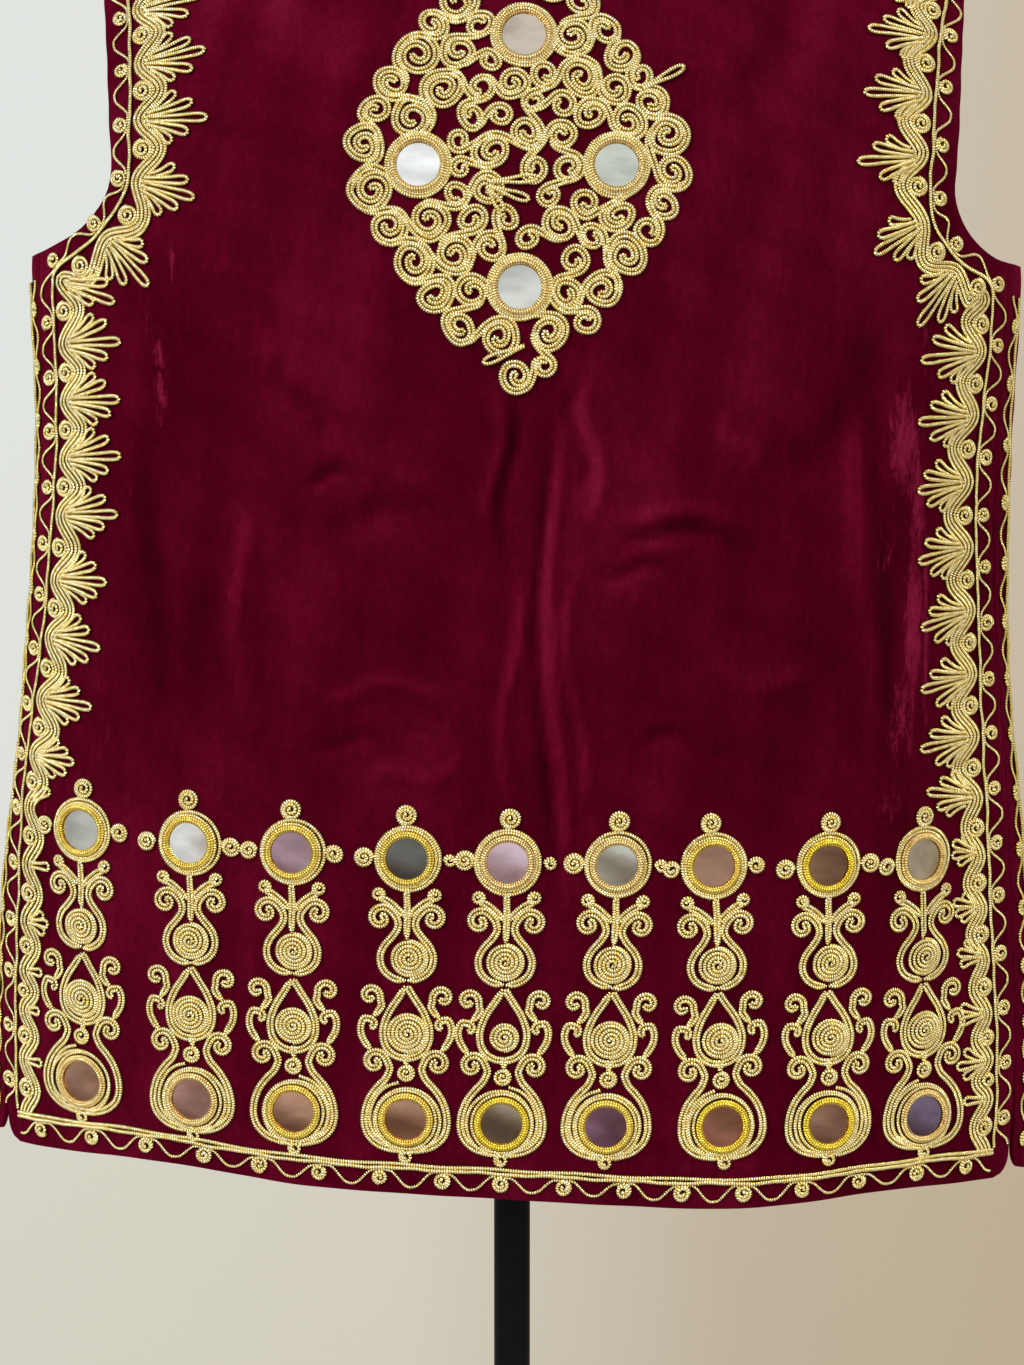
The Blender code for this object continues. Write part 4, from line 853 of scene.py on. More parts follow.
def jersey_material():
    """Plain pale jersey over the padded form, with its knit."""
    mat = Material("jersey", 0.92, Sheen_Weight=0.25, Sheen_Roughness=0.5)
    knit = mat.noise(1400.0, 2.0, (1.0, 1.0, 0.45))
    shade = mat.total((knit, 0.5), (mat.noise(14.0, 3.0), 0.5))
    mat.colour(mat.ramp(shade, (0.30, (0.47, 0.43, 0.36)), (0.70, (0.62, 0.58, 0.50))))
    mat.bump(knit, 0.0003, 0.6)
    return mat.made


def metal_material():
    """Black satin powder coat."""
    mat = Material("black_metal", 0.42, Specular_IOR_Level=0.03)
    mat.colour(mat.ramp(mat.noise(30.0, 3.0), (0.3, (0.0035, 0.0035, 0.004)),
                        (0.7, (0.007, 0.007, 0.008))))
    mat.feed(mat.shader["Roughness"], mat.math("MULTIPLY_ADD", mat.noise(60.0, 4.0), 0.16, 0.34))
    mat.bump(mat.noise(2200.0, 2.0), 0.00012, 0.5)
    return mat.made


def wood_material():
    """Dark varnished wood."""
    mat = Material("dark_wood", 0.35, Coat_Weight=0.4, Coat_Roughness=0.2)
    rings = mat.noise(60.0, 5.0, (1.0, 0.12, 1.0), 0.65)
    mat.colour(mat.ramp(rings, (0.35, (0.020, 0.009, 0.004)), (0.65, (0.070, 0.034, 0.016))))
    mat.bump(rings, 0.0003, 0.3)
    return mat.made


# ---- pieces -------------------------------------------------------------------------
def new_piece(name, mesh, material, slot, replaced=()):
    """A shown piece that rides on the part and stands for these CAD nodes."""
    mesh.materials.append(material)
    piece = bpy.data.objects.new(name, mesh)
    bpy.context.scene.collection.objects.link(piece)
    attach(piece, "root")
    if replaced:
        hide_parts(*replaced)
    return piece


def grid_faces(rows, columns, closed=False):
    """Faces between rows of points; closed joins the last point of each row to its first."""
    faces = []
    for low in range(0, (rows - 1) * columns, columns):
        for k in range(columns if closed else columns - 1):
            after = (k + 1) % columns
            faces.append((low + k, low + after, low + columns + after, low + columns + k))
    return faces


def smooth_mesh(name, points, faces, sharp=None):
    """A mesh that shades smoothly, but for the edges past a sharp angle in degrees."""
    mesh = bpy.data.meshes.new(name)
    mesh.from_pydata(points, [], faces)
    mesh.shade_smooth()
    if sharp:
        mesh.set_sharp_from_angle(angle=math.radians(sharp))
    return mesh


def lathe_mesh(name, points, steps, sharp):
    """A closed mesh of rings from the lowest to the top; its last two points are their middles."""
    low, high = len(points) - 2, len(points) - 1
    faces = grid_faces(low // steps, steps, closed=True)
    for k in range(steps):
        after = (k + 1) % steps
        faces += [(low, after, k), (high, low - steps + k, low - steps + after)]
    return smooth_mesh(name, points, faces, sharp)


# ---- velvet panels ------------------------------------------------------------------
def cloth_panel(name, grid):
    """A velvet wall: grid is rows of (across, up) pairs, from the hem up."""
    flat = np.array(grid, dtype=float).reshape(-1, 2)
    points, _ = cloth.place(flat[:, 0], flat[:, 1])
    mesh = smooth_mesh(name, points.tolist(), grid_faces(len(grid), len(grid[0])))
    # The attribute nap holds painted light and shade along the creases, for the velvet's colour.
    shading = mesh.attributes.new("nap", "FLOAT", "POINT")
    shading.data.foreach_set("value", painted_crease_light(flat[:, 0], flat[:, 1]).astype(np.float32))
    piece = new_piece("velvet_" + name, mesh, velvet_material("velvet_" + name), "velvet", [name])
    wall = piece.modifiers.new("wall", "SOLIDIFY")
    wall.thickness = CLOTH
    wall.offset = -1.0
    wall.use_even_offset = True
    edge = piece.modifiers.new("edge", "BEVEL")
    edge.width = CLOTH_EDGE
    edge.segments = 2
    edge.limit_method = "ANGLE"
    edge.angle_limit = math.radians(60)
    edge.harden_normals = False
    return piece


def even(low, high, count):
    """count + 1 even places from low to high."""
    return [mix(low, high, k / count) for k in range(count + 1)]


def panel_heights(low, underarm, high, scoop):
    """Heights of a panel's rows, closer together round its corners."""
    corner = [low + rise for rise in CORNER_ROWS[:-1]]
    body = even(low + CORNER_ROWS[-1], underarm, BODY_ROWS)
    curve = [underarm + scoop * share for share in SCOOP_ROWS]
    return corner + body + curve + even(underarm + scoop, high, SHOULDER_ROWS)[1:]


def back_velvet():
    """The whole back."""
    tips = [back_edge(cloth.top, side) for side in SIDES]
    width = tips[1] - tips[0]
    neck = [(side * NECK_HALF_WIDTH - tips[0]) / width for side in SIDES]
    middle = [mix(neck[0], neck[1], (1 - math.cos(math.pi * share)) / 2)
              for share in even(0.0, 1.0, NECK_COLUMNS)]
    columns = even(0.0, neck[0], SHOULDER_COLUMNS)[:-1] + middle
    columns += even(neck[1], 1.0, SHOULDER_COLUMNS)[1:]
    scoop = BACK_SCOOP / (1.0 - UNDERARM_LEFT)
    true_scoop = BACK_SCOOP / (cloth.top - UNDERARM_LEFT)

    def up_at(height, share):
        """Height on the cloth of a row that is named by its height at the left edge."""
        underarm = mix(UNDERARM_LEFT, UNDERARM_RIGHT, share)
        if height <= UNDERARM_LEFT:
            hem = hem_height(mix(-seam_across(0.0, -1), seam_across(0.0, 1), share))
            return mix(hem, underarm, height / UNDERARM_LEFT)
        along = (height - UNDERARM_LEFT) / (1.0 - UNDERARM_LEFT)
        if along <= scoop:
            along = along * (true_scoop / scoop)
        else:
            along = mix(true_scoop, 1.0, (along - scoop) / (1.0 - scoop))
        across = tips[0] + share * width
        reach = min(abs(across) / NECK_HALF_WIDTH, 1.0)
        drop = BACK_NECK_DROP * math.sqrt(1.0 - reach * reach)
        return mix(underarm, crest_up(across) - drop, along)

    grid = []
    for height in panel_heights(0.0, UNDERARM_LEFT, 1.0, BACK_SCOOP):
        left, right = back_edge(up_at(height, 0.0), -1), back_edge(up_at(height, 1.0), 1)
        grid.append([(mix(left, right, share), up_at(height, share)) for share in columns])
    piece = cloth_panel("back_panel", grid)


def front_velvet(side):
    """One front."""
    underarm = underarm_height(side)
    hem = hem_height(side * seam_across(0.0, side))
    tip = front_distance(cloth.top, side)
    grid = []
    for height in panel_heights(hem, underarm, cloth.top, FRONT_SCOOP):
        row = []
        for share in even(0.0, 1.0, FRONT_COLUMNS):
            across = mix(tip, NECK_HALF_WIDTH, share)
            up = height
            if height > underarm:
                climb = (height - underarm) / (cloth.top - underarm)
                up = mix(underarm, crest_up(across), climb)
            distance = mix(front_distance(up, side), front_edge(up, hem), share)
            row.append((side * (cloth.half_girth(up, side) - distance), up))
        grid.append(row[::side])
    piece = cloth_panel(f"{side_name(side)}_front_panel", grid)


# ---- cords --------------------------------------------------------------------------
def smooth(points, steps=10):
    """A smooth run of points through guide points."""
    guide = np.array(points, dtype=float)
    padded = np.vstack([2 * guide[0] - guide[1], guide, 2 * guide[-1] - guide[-2]])
    t = np.linspace(0.0, 1.0, steps, endpoint=False)[:, None]
    runs = []
    for a, b, c, d in zip(padded, padded[1:], padded[2:], padded[3:]):
        runs.append(0.5 * (2 * b + (c - a) * t + (2 * a - 5 * b + 4 * c - d) * t ** 2
                           + (3 * b - a - 3 * c + d) * t ** 3))
    return np.vstack(runs + [guide[-1:]])


def evenly(points, step=CORD_STEP):
    """The same run with evenly spaced points."""
    points = np.array(points, dtype=float)
    runs = np.hypot(*np.diff(points[:, :2], axis=0).T)
    apart = runs > 1e-7
    points = points[np.append(True, apart)]
    length = np.append(0.0, np.cumsum(runs[apart]))
    count = max(int(round(length[-1] / step)), 2)
    return read_columns(np.linspace(0.0, length[-1], count + 1), length, points)


def leftward(points):
    """Unit directions to the left of a flat run."""
    along = np.gradient(points[:, :2], axis=0)
    along /= np.maximum(np.hypot(along[:, 0], along[:, 1]), 1e-9)[:, None]
    return np.stack([-along[:, 1], along[:, 0]], axis=1)


def aside(points, distance):
    """The flat run moved to its left by a distance."""
    return points + leftward(points) * distance


def doubled(points, gap=PAIR):
    """Two cords side by side along a run; they close up and sink into the velvet at its end."""
    points = evenly(points)
    left = np.linspace(len(points) * CORD_STEP, 0.0, len(points))
    half = gap / 2 * smooth_step(left, 0.0, CLOSING)
    sunk = -SUNK * (1.0 - smooth_step(left, 0.0, SINKING))
    sides = [np.column_stack([aside(points[:, :2], way * half[:, None]), sunk]) for way in (1, -1)]
    return np.vstack([sides[0][::-1], sides[1]])


def around(centre, radius, angle):
    """Flat places at this radius and angle from a centre."""
    x, y = centre[0] + radius * np.cos(angle), centre[1] + radius * np.sin(angle)
    return np.stack([x, y], axis=-1)


def spiral(centre, outer, inner, pitch, end, hand):
    """A run from inside a spiral out to its end at the angle end; hand 1 is anticlockwise."""
    turns = max((outer - inner) / pitch, 0.2)
    share = np.linspace(0.0, 1.0, int(18 * turns) + 4)
    return around(centre, mix(inner, outer, share), end - hand * 2 * math.pi * turns * (1 - share))


def rimmed_spiral(centre, outer, inner, pitch, end, hand, turned, steps):
    """A spiral that goes on round its rim by the angle turned, to the angle end."""
    run = spiral(centre, outer, inner, pitch, end - hand * turned, hand)
    return np.vstack([run, around(centre, outer, end - hand * np.linspace(turned, 0.0, steps)[1:])])


def coil(centre, radius, end=0.0, hand=1, dome=0.0):
    """A flat coil of one cord round a small eye, with a round rim, rising by dome to its middle."""
    outer = radius - CORD_RADIUS
    run = evenly(rimmed_spiral(centre, outer, COIL_EYE, COIL_PITCH, end, hand, COIL_RIM, 16))
    out = np.hypot(run[:, 0] - centre[0], run[:, 1] - centre[1]) / radius
    return np.column_stack([run, dome * (1 - out ** 2)])


def circle(centre, radius, start=0.0):
    """A closed run round a circle, a little past its start."""
    return around(centre, radius, np.linspace(start, start + 2 * math.pi * 1.02, CIRCLE_STEPS))


# Half the width of a petal in mm, and of a leaf, by the share of its length from the root.
PETAL_SHAPE = ((0.0, 1.00), (0.30, 1.14), (0.58, 1.42), (0.80, 1.80), (0.93, 1.58), (0.985, 0.76),
               (1.0, 0.0))
LEAF_SHAPE = ((0.0, 0.2), (0.35, 0.7), (0.7, 1.6), (0.92, 1.3), (1.0, 0.0))


def loop(middles, forward, rows):
    """Guide points out along one side of a line's middles and back along its other side."""
    across = np.stack([-forward[..., 1], forward[..., 0]], axis=-1) * np.array(rows)[:, 1:] * MM
    return np.vstack([middles + across, (middles - across)[-2::-1]])


def lay(run, lift=0.0, size=CORD_RADIUS, flat=True):
    """A run as cloth sizes, lifts and the cord's radius; a flat run is one seen from behind."""
    run = evenly(run)
    own = run[:, 2] if run.shape[1] > 2 else 0.0
    across, up = cloth.under(run[:, :2]) if flat else run[:, :2].T
    return np.column_stack([across, up, np.full(len(run), lift) + own, np.full(len(run), size)])


def tube_rings(points, normals, radii):
    """Rings of points round a run, the first point of each on its crown."""
    turns = np.linspace(0.0, 2 * math.pi, CORD_SIDES, endpoint=False) + math.pi / 2
    along = np.gradient(points, axis=0)
    along /= np.maximum(np.linalg.norm(along, axis=1, keepdims=True), 1e-9)
    side = np.cross(along, normals)
    side /= np.maximum(np.linalg.norm(side, axis=1, keepdims=True), 1e-9)
    out = np.cross(side, along)
    round_it = (np.cos(turns)[None, :, None] * side[:, None]
                + np.sin(turns)[None, :, None] * out[:, None])
    return points[:, None] + radii[:, None, None] * round_it


def sweep(name, runs, replaced=(), material=GOLD):
    """Cords along runs of (across, up, lift, radius), as one piece."""
    vertices, loops, sizes, maps = [], [], [], []
    start = 0
    sides = np.arange(CORD_SIDES)
    for run in runs:
        points, normals = cloth.place(run[:, 0], run[:, 1], run[:, 2] + CORD_LIFT)
        vertices.append(tube_rings(points, normals, run[:, 3]).reshape(-1, 3))
        steps = np.linalg.norm(np.diff(points, axis=0), axis=1)
        length = np.append(0.0, np.cumsum(steps)) / CORD_TWIST
        quads = np.array(grid_faces(len(points), CORD_SIDES, closed=True))
        loops.append(start + quads.ravel())
        sizes.append(np.full(len(quads), 4))
        round_it = (quads[:, :1] % CORD_SIDES + [0, 1, 1, 0]) / CORD_SIDES
        maps.append(np.stack([length[quads // CORD_SIDES], round_it], axis=-1).reshape(-1, 2))
        for ring, order in ((0, -1), (len(points) - 1, 1)):
            loops.append(start + ring * CORD_SIDES + sides[::order])
            sizes.append([CORD_SIDES])
            maps.append(np.column_stack([np.full(CORD_SIDES, length[ring]), sides / CORD_SIDES]))
        start += len(points) * CORD_SIDES
    vertices, loops, sizes, maps = (np.concatenate(part) for part in (vertices, loops, sizes, maps))
    mesh = bpy.data.meshes.new(name)
    mesh.vertices.add(len(vertices))
    mesh.vertices.foreach_set("co", vertices.astype(np.float32).ravel())
    mesh.loops.add(len(loops))
    mesh.loops.foreach_set("vertex_index", loops.astype(np.int32))
    mesh.polygons.add(len(sizes))
    starts = np.append(0, np.cumsum(sizes)[:-1])
    mesh.polygons.foreach_set("loop_start", starts.astype(np.int32))
    mesh.update(calc_edges=True)
    layer = mesh.uv_layers.new(name="rope")
    layer.data.foreach_set("uv", maps.astype(np.float32).ravel())
    mesh.validate()
    mesh.shade_smooth()
    return new_piece(name, mesh, material, "gold_cord", replaced)


# ---- a column -----------------------------------------------------------------------
# All in mm from its upper mirror's centre, drawn on the right and mirrored to the left.
COLUMN_LENGTH = 124            # between the two mirrors
CordCircle = namedtuple("CordCircle", "x y radius start")
TOP_CIRCLES = (CordCircle(0, 0, 13.5, 0.0), CordCircle(0.3, 0.2, 15.1, 2.0))
FOOT_CIRCLE = CordCircle(0, -COLUMN_LENGTH, 14.0, 0.0)
Stem = namedtuple("Stem", "line gap")
STEMS = (
    Stem(((0, -16), (0.3, -26), (0, -38)), 1.7),
    Stem(((0, -93), (0.2, -95.5), (0, -98)), 1.7),
)
DROP = ((0.6, -60.6), (4.0, -66.0), (8.3, -72.8), (11.0, -80.8), (9.9, -88.2), (5.6, -92.8),
        (0, -94.2))
WING = ((12.6, -18.6), (8.6, -20.4), (4.4, -23.8), (0.9, -27.6))
PEAR_INSIDE = ((3.0, -106.4), (9.2, -108.8), (14.2, -114.2), (16.8, -122.8), (15.2, -130.6),
               (9.0, -136.0))
# A curl of doubled cord, whose spiral ends at an angle in degrees, and the line that it runs into.
Scroll = namedtuple("Scroll", "x y radius end hand line")
SCROLLS = (
    Scroll(12.2, -28.4, 7.9, 140, 1, (
        (6.6, -25.6), (4.4, -29.0), (4.3, -33.0), (7.2, -37.4), (10.9, -41.8), (12.6, -47.4),
        (10.9, -53.0), (6.4, -56.6), (0.6, -58.0))),
    Scroll(16.9, -65.6, 7.3, 205, 1, ((11.2, -69.8), (13.6, -73.4), (15.6, -75.4))),
    Scroll(16.6, -79.2, 5.3, 62, -1, (
        (19.6, -75.6), (21.2, -79.8), (20.6, -84.6), (17.6, -89.6), (16.2, -91.2))),
    Scroll(14.6, -96.8, 8.0, 170, 1, (
        (7.2, -99.4), (9.4, -104.4), (14.0, -109.4), (17.8, -115.6), (19.6, -123.8),
        (18.2, -131.0), (13.4, -136.0), (7.2, -138.2), (1.0, -138.9))),
)


def line(rows, side=1):
    """A smooth run through guide points in mm, on the right or mirrored to the left."""
    return smooth([(side * x * MM, y * MM) for x, y in rows])


def coil_mm(x, y, radius, end, hand, dome):
    """A coil in mm; end is in quarter turns."""
    return coil((x * MM, y * MM), radius * MM, end * math.pi / 2, hand, dome * MM)


def circle_mm(x, y, radius, start):
    """A circle in mm."""
    return circle((x * MM, y * MM), radius * MM, start)


def scroll_run(scroll, side):
    """A scroll's doubled cord, on the right or mirrored to the left."""
    angle, hand = math.radians(scroll.end), scroll.hand
    if side < 0:
        angle, hand = math.pi - angle, -hand
    curl = spiral((side * scroll.x * MM, scroll.y * MM), scroll.radius * MM - BAND, CURL_EYE,
                  BAND_PITCH, angle, hand)
    return doubled(np.vstack([curl, line(scroll.line, side)]))


def column_runs(column, shake):
    """Flat runs of one column in metres, from its upper mirror's centre down."""
    runs = [circle_mm(*mark) for mark in TOP_CIRCLES]
    skew = shake.uniform(-1.3, 1.3)
    runs.append(coil_mm(shake.uniform(-1, 2), 20.4, 5.3, -1, 1, 0.6))
    runs.append(coil_mm(skew, -46.9, 9.3, 1, 1, 1.4))
    runs.append(coil_mm(0.5 * skew, -82.8, column.boss + 0.6, -1, -1, 1.4))
    runs.append(coil_mm(0, -101.6, 4.6, 1, 1, 0.7))
    runs.append(coil_mm(0, -141.6, 3.6, 1, -1, 0.5))
    runs += [doubled(line(stem.line), stem.gap * MM) for stem in STEMS]
    runs.append(doubled(line(DROP + tuple((-x, y) for x, y in DROP[-2::-1]))))
    runs.append(circle_mm(*FOOT_CIRCLE))
    runs.append(circle_mm(shake.choice((-0.9, 0.9)), -124.3, 15.5, 4.0))
    for side in SIDES:
        low = shake.uniform(-1, 0.6)
        grown = 1.0 - 0.2 * side if column.number in MIDDLE_COLUMNS else 1.0
        if (column.number, side) != (len(COLUMNS), 1):
            radius = grown * column.side_coil
            runs.append(coil_mm(side * column.reach, low, radius, side + 1, side, 0.6))
        runs.append(coil_mm(side * 13.0, -16.9, 3.7, -1, side, 0.4))
        runs.append(doubled(line(WING, side)))
        runs += [scroll_run(scroll, side) for scroll in SCROLLS]
        if side == column.full_side:
            runs.append(line(PEAR_INSIDE, side))
    return runs


def turned_run(run, top, foot):
    """A run of a column set between its mirrors: leaned, and stretched to their distance."""
    length = np.hypot(*(foot - top))
    axis = (foot - top) / length
    across = np.array([-axis[1], axis[0]])
    scale = length / (COLUMN_LENGTH * MM)
    flat = top + run[:, 0:1] * scale * across - run[:, 1:2] * scale * axis
    return np.column_stack([flat, run[:, 2:]])


def columns():
    """The nine columns with their mirrors and rings."""
    shake = random.Random(5)
    for column in COLUMNS:
        top = cloth.behind(column.top_across, COLUMN_TOP + column.rise)[0]
        foot = cloth.behind(column.foot_across, COLUMN_FOOT + column.rise)[0]
        laid = []
        for run in column_runs(column, shake):
            run[:, 0] += shake.uniform(-0.3, 0.3) * MM
            run[:, 1] += shake.uniform(-0.3, 0.3) * MM
            laid.append(lay(turned_run(run, top, foot)))
        sweep(f"cords_column_{column.number}", laid, [f"hem_column_{column.number}"])
        for end, centre, glass, ring in (("top", top, column.top_glass, column.top_ring),
                                         ("foot", foot, column.foot_glass, column.foot_ring)):
            mirror_set(f"{end}_{column.number}", centre, COLUMN_MIRROR, glass, ring)


def mirror_set(name, centre, radius, glass, ring):
    """A round mirror and its stitched ring of bullion: two rows with a third heaped on them."""
    rows = []
    for out, rise in ((0.65, 1.05), (2.15, 0.85), (1.35, 1.95)):
        run = circle(centre, radius + out * MM, start=out)
        rows.append(lay(np.column_stack([run, np.full(len(run), rise * MM)])))
    sweep("bullion_" + name, rows, material=BULLION[ring])
    mirror_disc(name, centre, radius + 0.4 * MM, glass)


def mirror_disc(name, centre, radius, glass):
    """A thin disc of mirror glass lying on the velvet, slightly crowned."""
    steps, rows = 36, 4
    turns = 2 * math.pi * np.arange(steps) / steps
    flat, lifts = [around(centre, radius, turns)], [np.full(steps, GLASS_BACK)]
    for row in range(rows, 0, -1):
        flat.append(around(centre, radius * row / rows, turns))
        lifts.append(np.full(steps, GLASS_CROWN - 0.25 * MM * (row / rows) ** 2))
    flat, lifts = np.vstack(flat + [centre, centre]), np.append(lifts, [GLASS_BACK, GLASS_CROWN])
    across, up = cloth.under(flat)
    points, _ = cloth.place(across, up, lifts)
    mesh = lathe_mesh("glass_" + name, points.tolist(), steps, 40)
    # its colour is a painted reflection, picked by glass
    new_piece("glass_" + name, mesh, glass_material("glass_" + name, MIRROR_REFLECTIONS[glass]), "mirror_glass",
              ["mirror_" + name])


# ---- the medallion ------------------------------------------------------------------
# A spiral or mirror of the medallion: its flat place and its radius.
Node = namedtuple("Node", "x y radius is_mirror")


def link(child, parent, hand, crossed):
    """Where a spiral's cords leave it for its parent's rim: the angle, and the run there."""
    own, rim = child.radius - BAND, parent.radius - BAND
    away = np.array(parent[:2]) - np.array(child[:2])
    reach = own + rim if crossed else own - rim
    turn = math.acos(max(min(reach / np.hypot(*away), 1.0), -1.0))
    angle = math.atan2(away[1], away[0]) - hand * turn
    start = around(child, own, angle)
    landing, way = (angle + math.pi, -hand) if crossed else (angle, hand)
    ahead = np.linspace(0.0, LANDING, 5)
    path = around(parent, rim - LANDING_DRAW * ahead, landing + way * ahead)
    return angle, np.vstack([start, (start + path[0]) / 2, path])


def packed(homes, radii, fixed, rounds=260, push_share=0.42, pull_home=0.01):
    """Round places in mm spread out inside the lozenge until they fill it and only touch."""
    places = homes.copy()
    for _ in range(rounds):
        apart = places[:, None] - places[None]
        distance = np.maximum(np.hypot(apart[..., 0], apart[..., 1]), 0.01)
        overlap = np.maximum(radii[:, None] + radii[None] - TUCK - distance, 0.0)
        np.fill_diagonal(overlap, 0.0)
        push = (apart / distance[..., None] * overlap[..., None]).sum(axis=1) * push_share
        places = np.where(fixed[:, None], places, places + push + (homes - places) * pull_home)
        wide, high = LOZENGE[0] - radii, LOZENGE[1] - radii
        out = ((np.abs(places[:, 0]) / wide) ** LOZENGE_POWER
               + (np.abs(places[:, 1]) / high) ** LOZENGE_POWER)
        inward = np.maximum(out, 1.0) ** (-1.0 / LOZENGE_POWER)
        places = np.where(fixed[:, None], places, places * inward[:, None])
    return places


def medallion_nodes(centre, squash, shake):
    """The mirrors and spirals in metres; their places and sizes are a little uneven."""
    homes, radii = [], []
    for mirror in MEDALLION_MIRRORS:
        place = cloth.behind(MEDALLION_ACROSS + mirror.across, MEDALLION_UP + mirror.up)[0]
        homes.append((place - centre) / MM)
        radii.append(MIRROR_ROOM)
    for mark in MEDALLION_SPIRALS:
        for half in (1, -1)[:mark.sides]:
            homes.append((half * mark.x + shake.uniform(-2.5, 2.5),
                          mark.y * squash + shake.uniform(-2.5, 2.5)))
            radii.append(mark.radius + shake.uniform(-1.6, 1.6))
    homes, radii = np.array(homes), np.array(radii)
    fixed = np.arange(len(radii)) < len(MEDALLION_MIRRORS)
    area = LOZENGE_AREA * LOZENGE[0] * LOZENGE[1] - math.pi * np.sum(radii[fixed] ** 2)
    grown = math.sqrt(FULLNESS * area / (math.pi * np.sum(radii[~fixed] ** 2)))
    radii = np.where(fixed, radii, radii * grown)
    return [Node(centre[0] + x * MM, centre[1] + y * MM, radius * MM, bool(mirror))
            for (x, y), radius, mirror in zip(packed(homes, radii, fixed), radii, fixed)]


def gap_between(first, second):
    """Room between two nodes of the medallion."""
    return math.dist(first[:2], second[:2]) - first.radius - second.radius


def clearance(child, parent, hand, nodes):
    """Least room between the link of a spiral to its parent and the spirals it passes."""
    _, tail = link(child, parent, hand, True)
    others = [node for node in nodes if node is not child and node is not parent]
    return min(math.dist(place, node[:2]) - node.radius for place in tail[:3] for node in others)


def hand_laid(run, centre):
    """A run of the medallion drawn a little out of round, as it is laid by hand."""
    x, y = (run[:, 0] - centre[0]) / MM, (run[:, 1] - centre[1]) / MM
    aside_x = 0.8 * np.sin(0.19 * y + 0.07 * x + 1.0) + 0.3 * np.sin(0.31 * x - 0.22 * y)
    aside_y = 0.8 * np.sin(0.18 * x - 0.08 * y + 2.0) + 0.3 * np.sin(0.29 * y + 0.24 * x)
    return run + np.stack([aside_x, aside_y], axis=1) * MM


def leaf(root, direction, length):
    """A narrow open loop of cord."""
    forward = around((0, 0), 1.0, direction)
    shares = np.array(LEAF_SHAPE)[:, :1]
    return smooth(loop(root + forward * length * shares, forward, LEAF_SHAPE), 8)


def medallion():
    """The lozenge of linked spirals round four mirrors."""
    shake = random.Random(11)
    centre = cloth.behind(MEDALLION_ACROSS, MEDALLION_UP)[0]
    ends = [cloth.behind(0.0, MEDALLION_UP + rise)[0][1] for rise in (-0.1, 0.1)]
    squash = (ends[1] - ends[0]) / 0.2
    nodes = medallion_nodes(centre, squash, shake)
    tied, loose = nodes[:len(MEDALLION_MIRRORS)], nodes[len(MEDALLION_MIRRORS):]
    mirrors = tied.copy()
    runs = []
    while loose:
        _, parent, child = min((gap_between(a, b), a, b) for a in tied for b in loose)
        loose.remove(child)
        tied.append(child)
        hand = max((-1, 1), key=lambda way: clearance(child, parent, way, nodes))
        crossed = parent.is_mirror or shake.random() < CROSSED_SHARE
        angle, tail = link(child, parent, hand, crossed)
        eye = shake.uniform(1.2, 2.0) * MM
        outer = child.radius - BAND
        inside = rimmed_spiral(child, outer, eye, OPEN_PITCH, angle, hand, OPEN_RIM, 14)
        run = hand_laid(np.vstack([inside, smooth(tail)[1:]]), centre)
        runs.append((doubled(run), shake.uniform(-0.0001, 0.0002)))
    for mark in MEDALLION_LEAVES:
        root = centre + np.array([mark.x, mark.y * squash]) * MM
        runs.append((leaf(root, math.radians(mark.turn), mark.length * MM), 0.0007))
    for node in mirrors:
        runs.append((circle(node, 13.3 * MM), 0.0004))
        runs.append((circle(node, 14.7 * MM, start=1.0), 0.0001))
    sweep("cords_medallion", [lay(*run) for run in runs], ["back_medallion"])
    for mirror, node in zip(MEDALLION_MIRRORS, mirrors):
        centre = np.array(node[:2])
        mirror_set("medallion_" + mirror.name, centre, MEDALLION_MIRROR, mirror.glass, "pale")


# ---- the borders --------------------------------------------------------------------
class Path:
    """A flat path seen from behind, read by the length along it and the distance inward."""

    STEP = 0.001
    SMOOTHED = 9               # steps each way that its directions are averaged over

    def __init__(self, points, inward):
        self.points = evenly(smooth(points, 14), self.STEP)
        steps = np.hypot(*np.diff(self.points, axis=0).T)
        self.length = np.append(0.0, np.cumsum(steps))
        along = np.gradient(self.points, axis=0)
        kernel = np.hanning(2 * self.SMOOTHED + 1)
        kernel /= kernel.sum()
        padded = np.pad(along, ((self.SMOOTHED, self.SMOOTHED), (0, 0)), mode="edge")
        along = np.stack([np.convolve(part, kernel, mode="valid") for part in padded.T], axis=1)
        along /= np.hypot(along[:, 0], along[:, 1])[:, None]
        self.inward = np.stack([-along[:, 1], along[:, 0]], axis=1) * inward

    def at(self, distance, inward):
        """Flat places."""
        distance = np.atleast_1d(distance).astype(float)
        places = read_columns(distance, self.length, self.points)
        ways = read_columns(distance, self.length, self.inward)
        return places + ways * np.broadcast_to(inward, distance.shape)[:, None]

    def nearest(self, place):
        """Length along the path nearest to a flat place."""
        return float(self.length[np.argmin(np.hypot(*(self.points - place).T))])


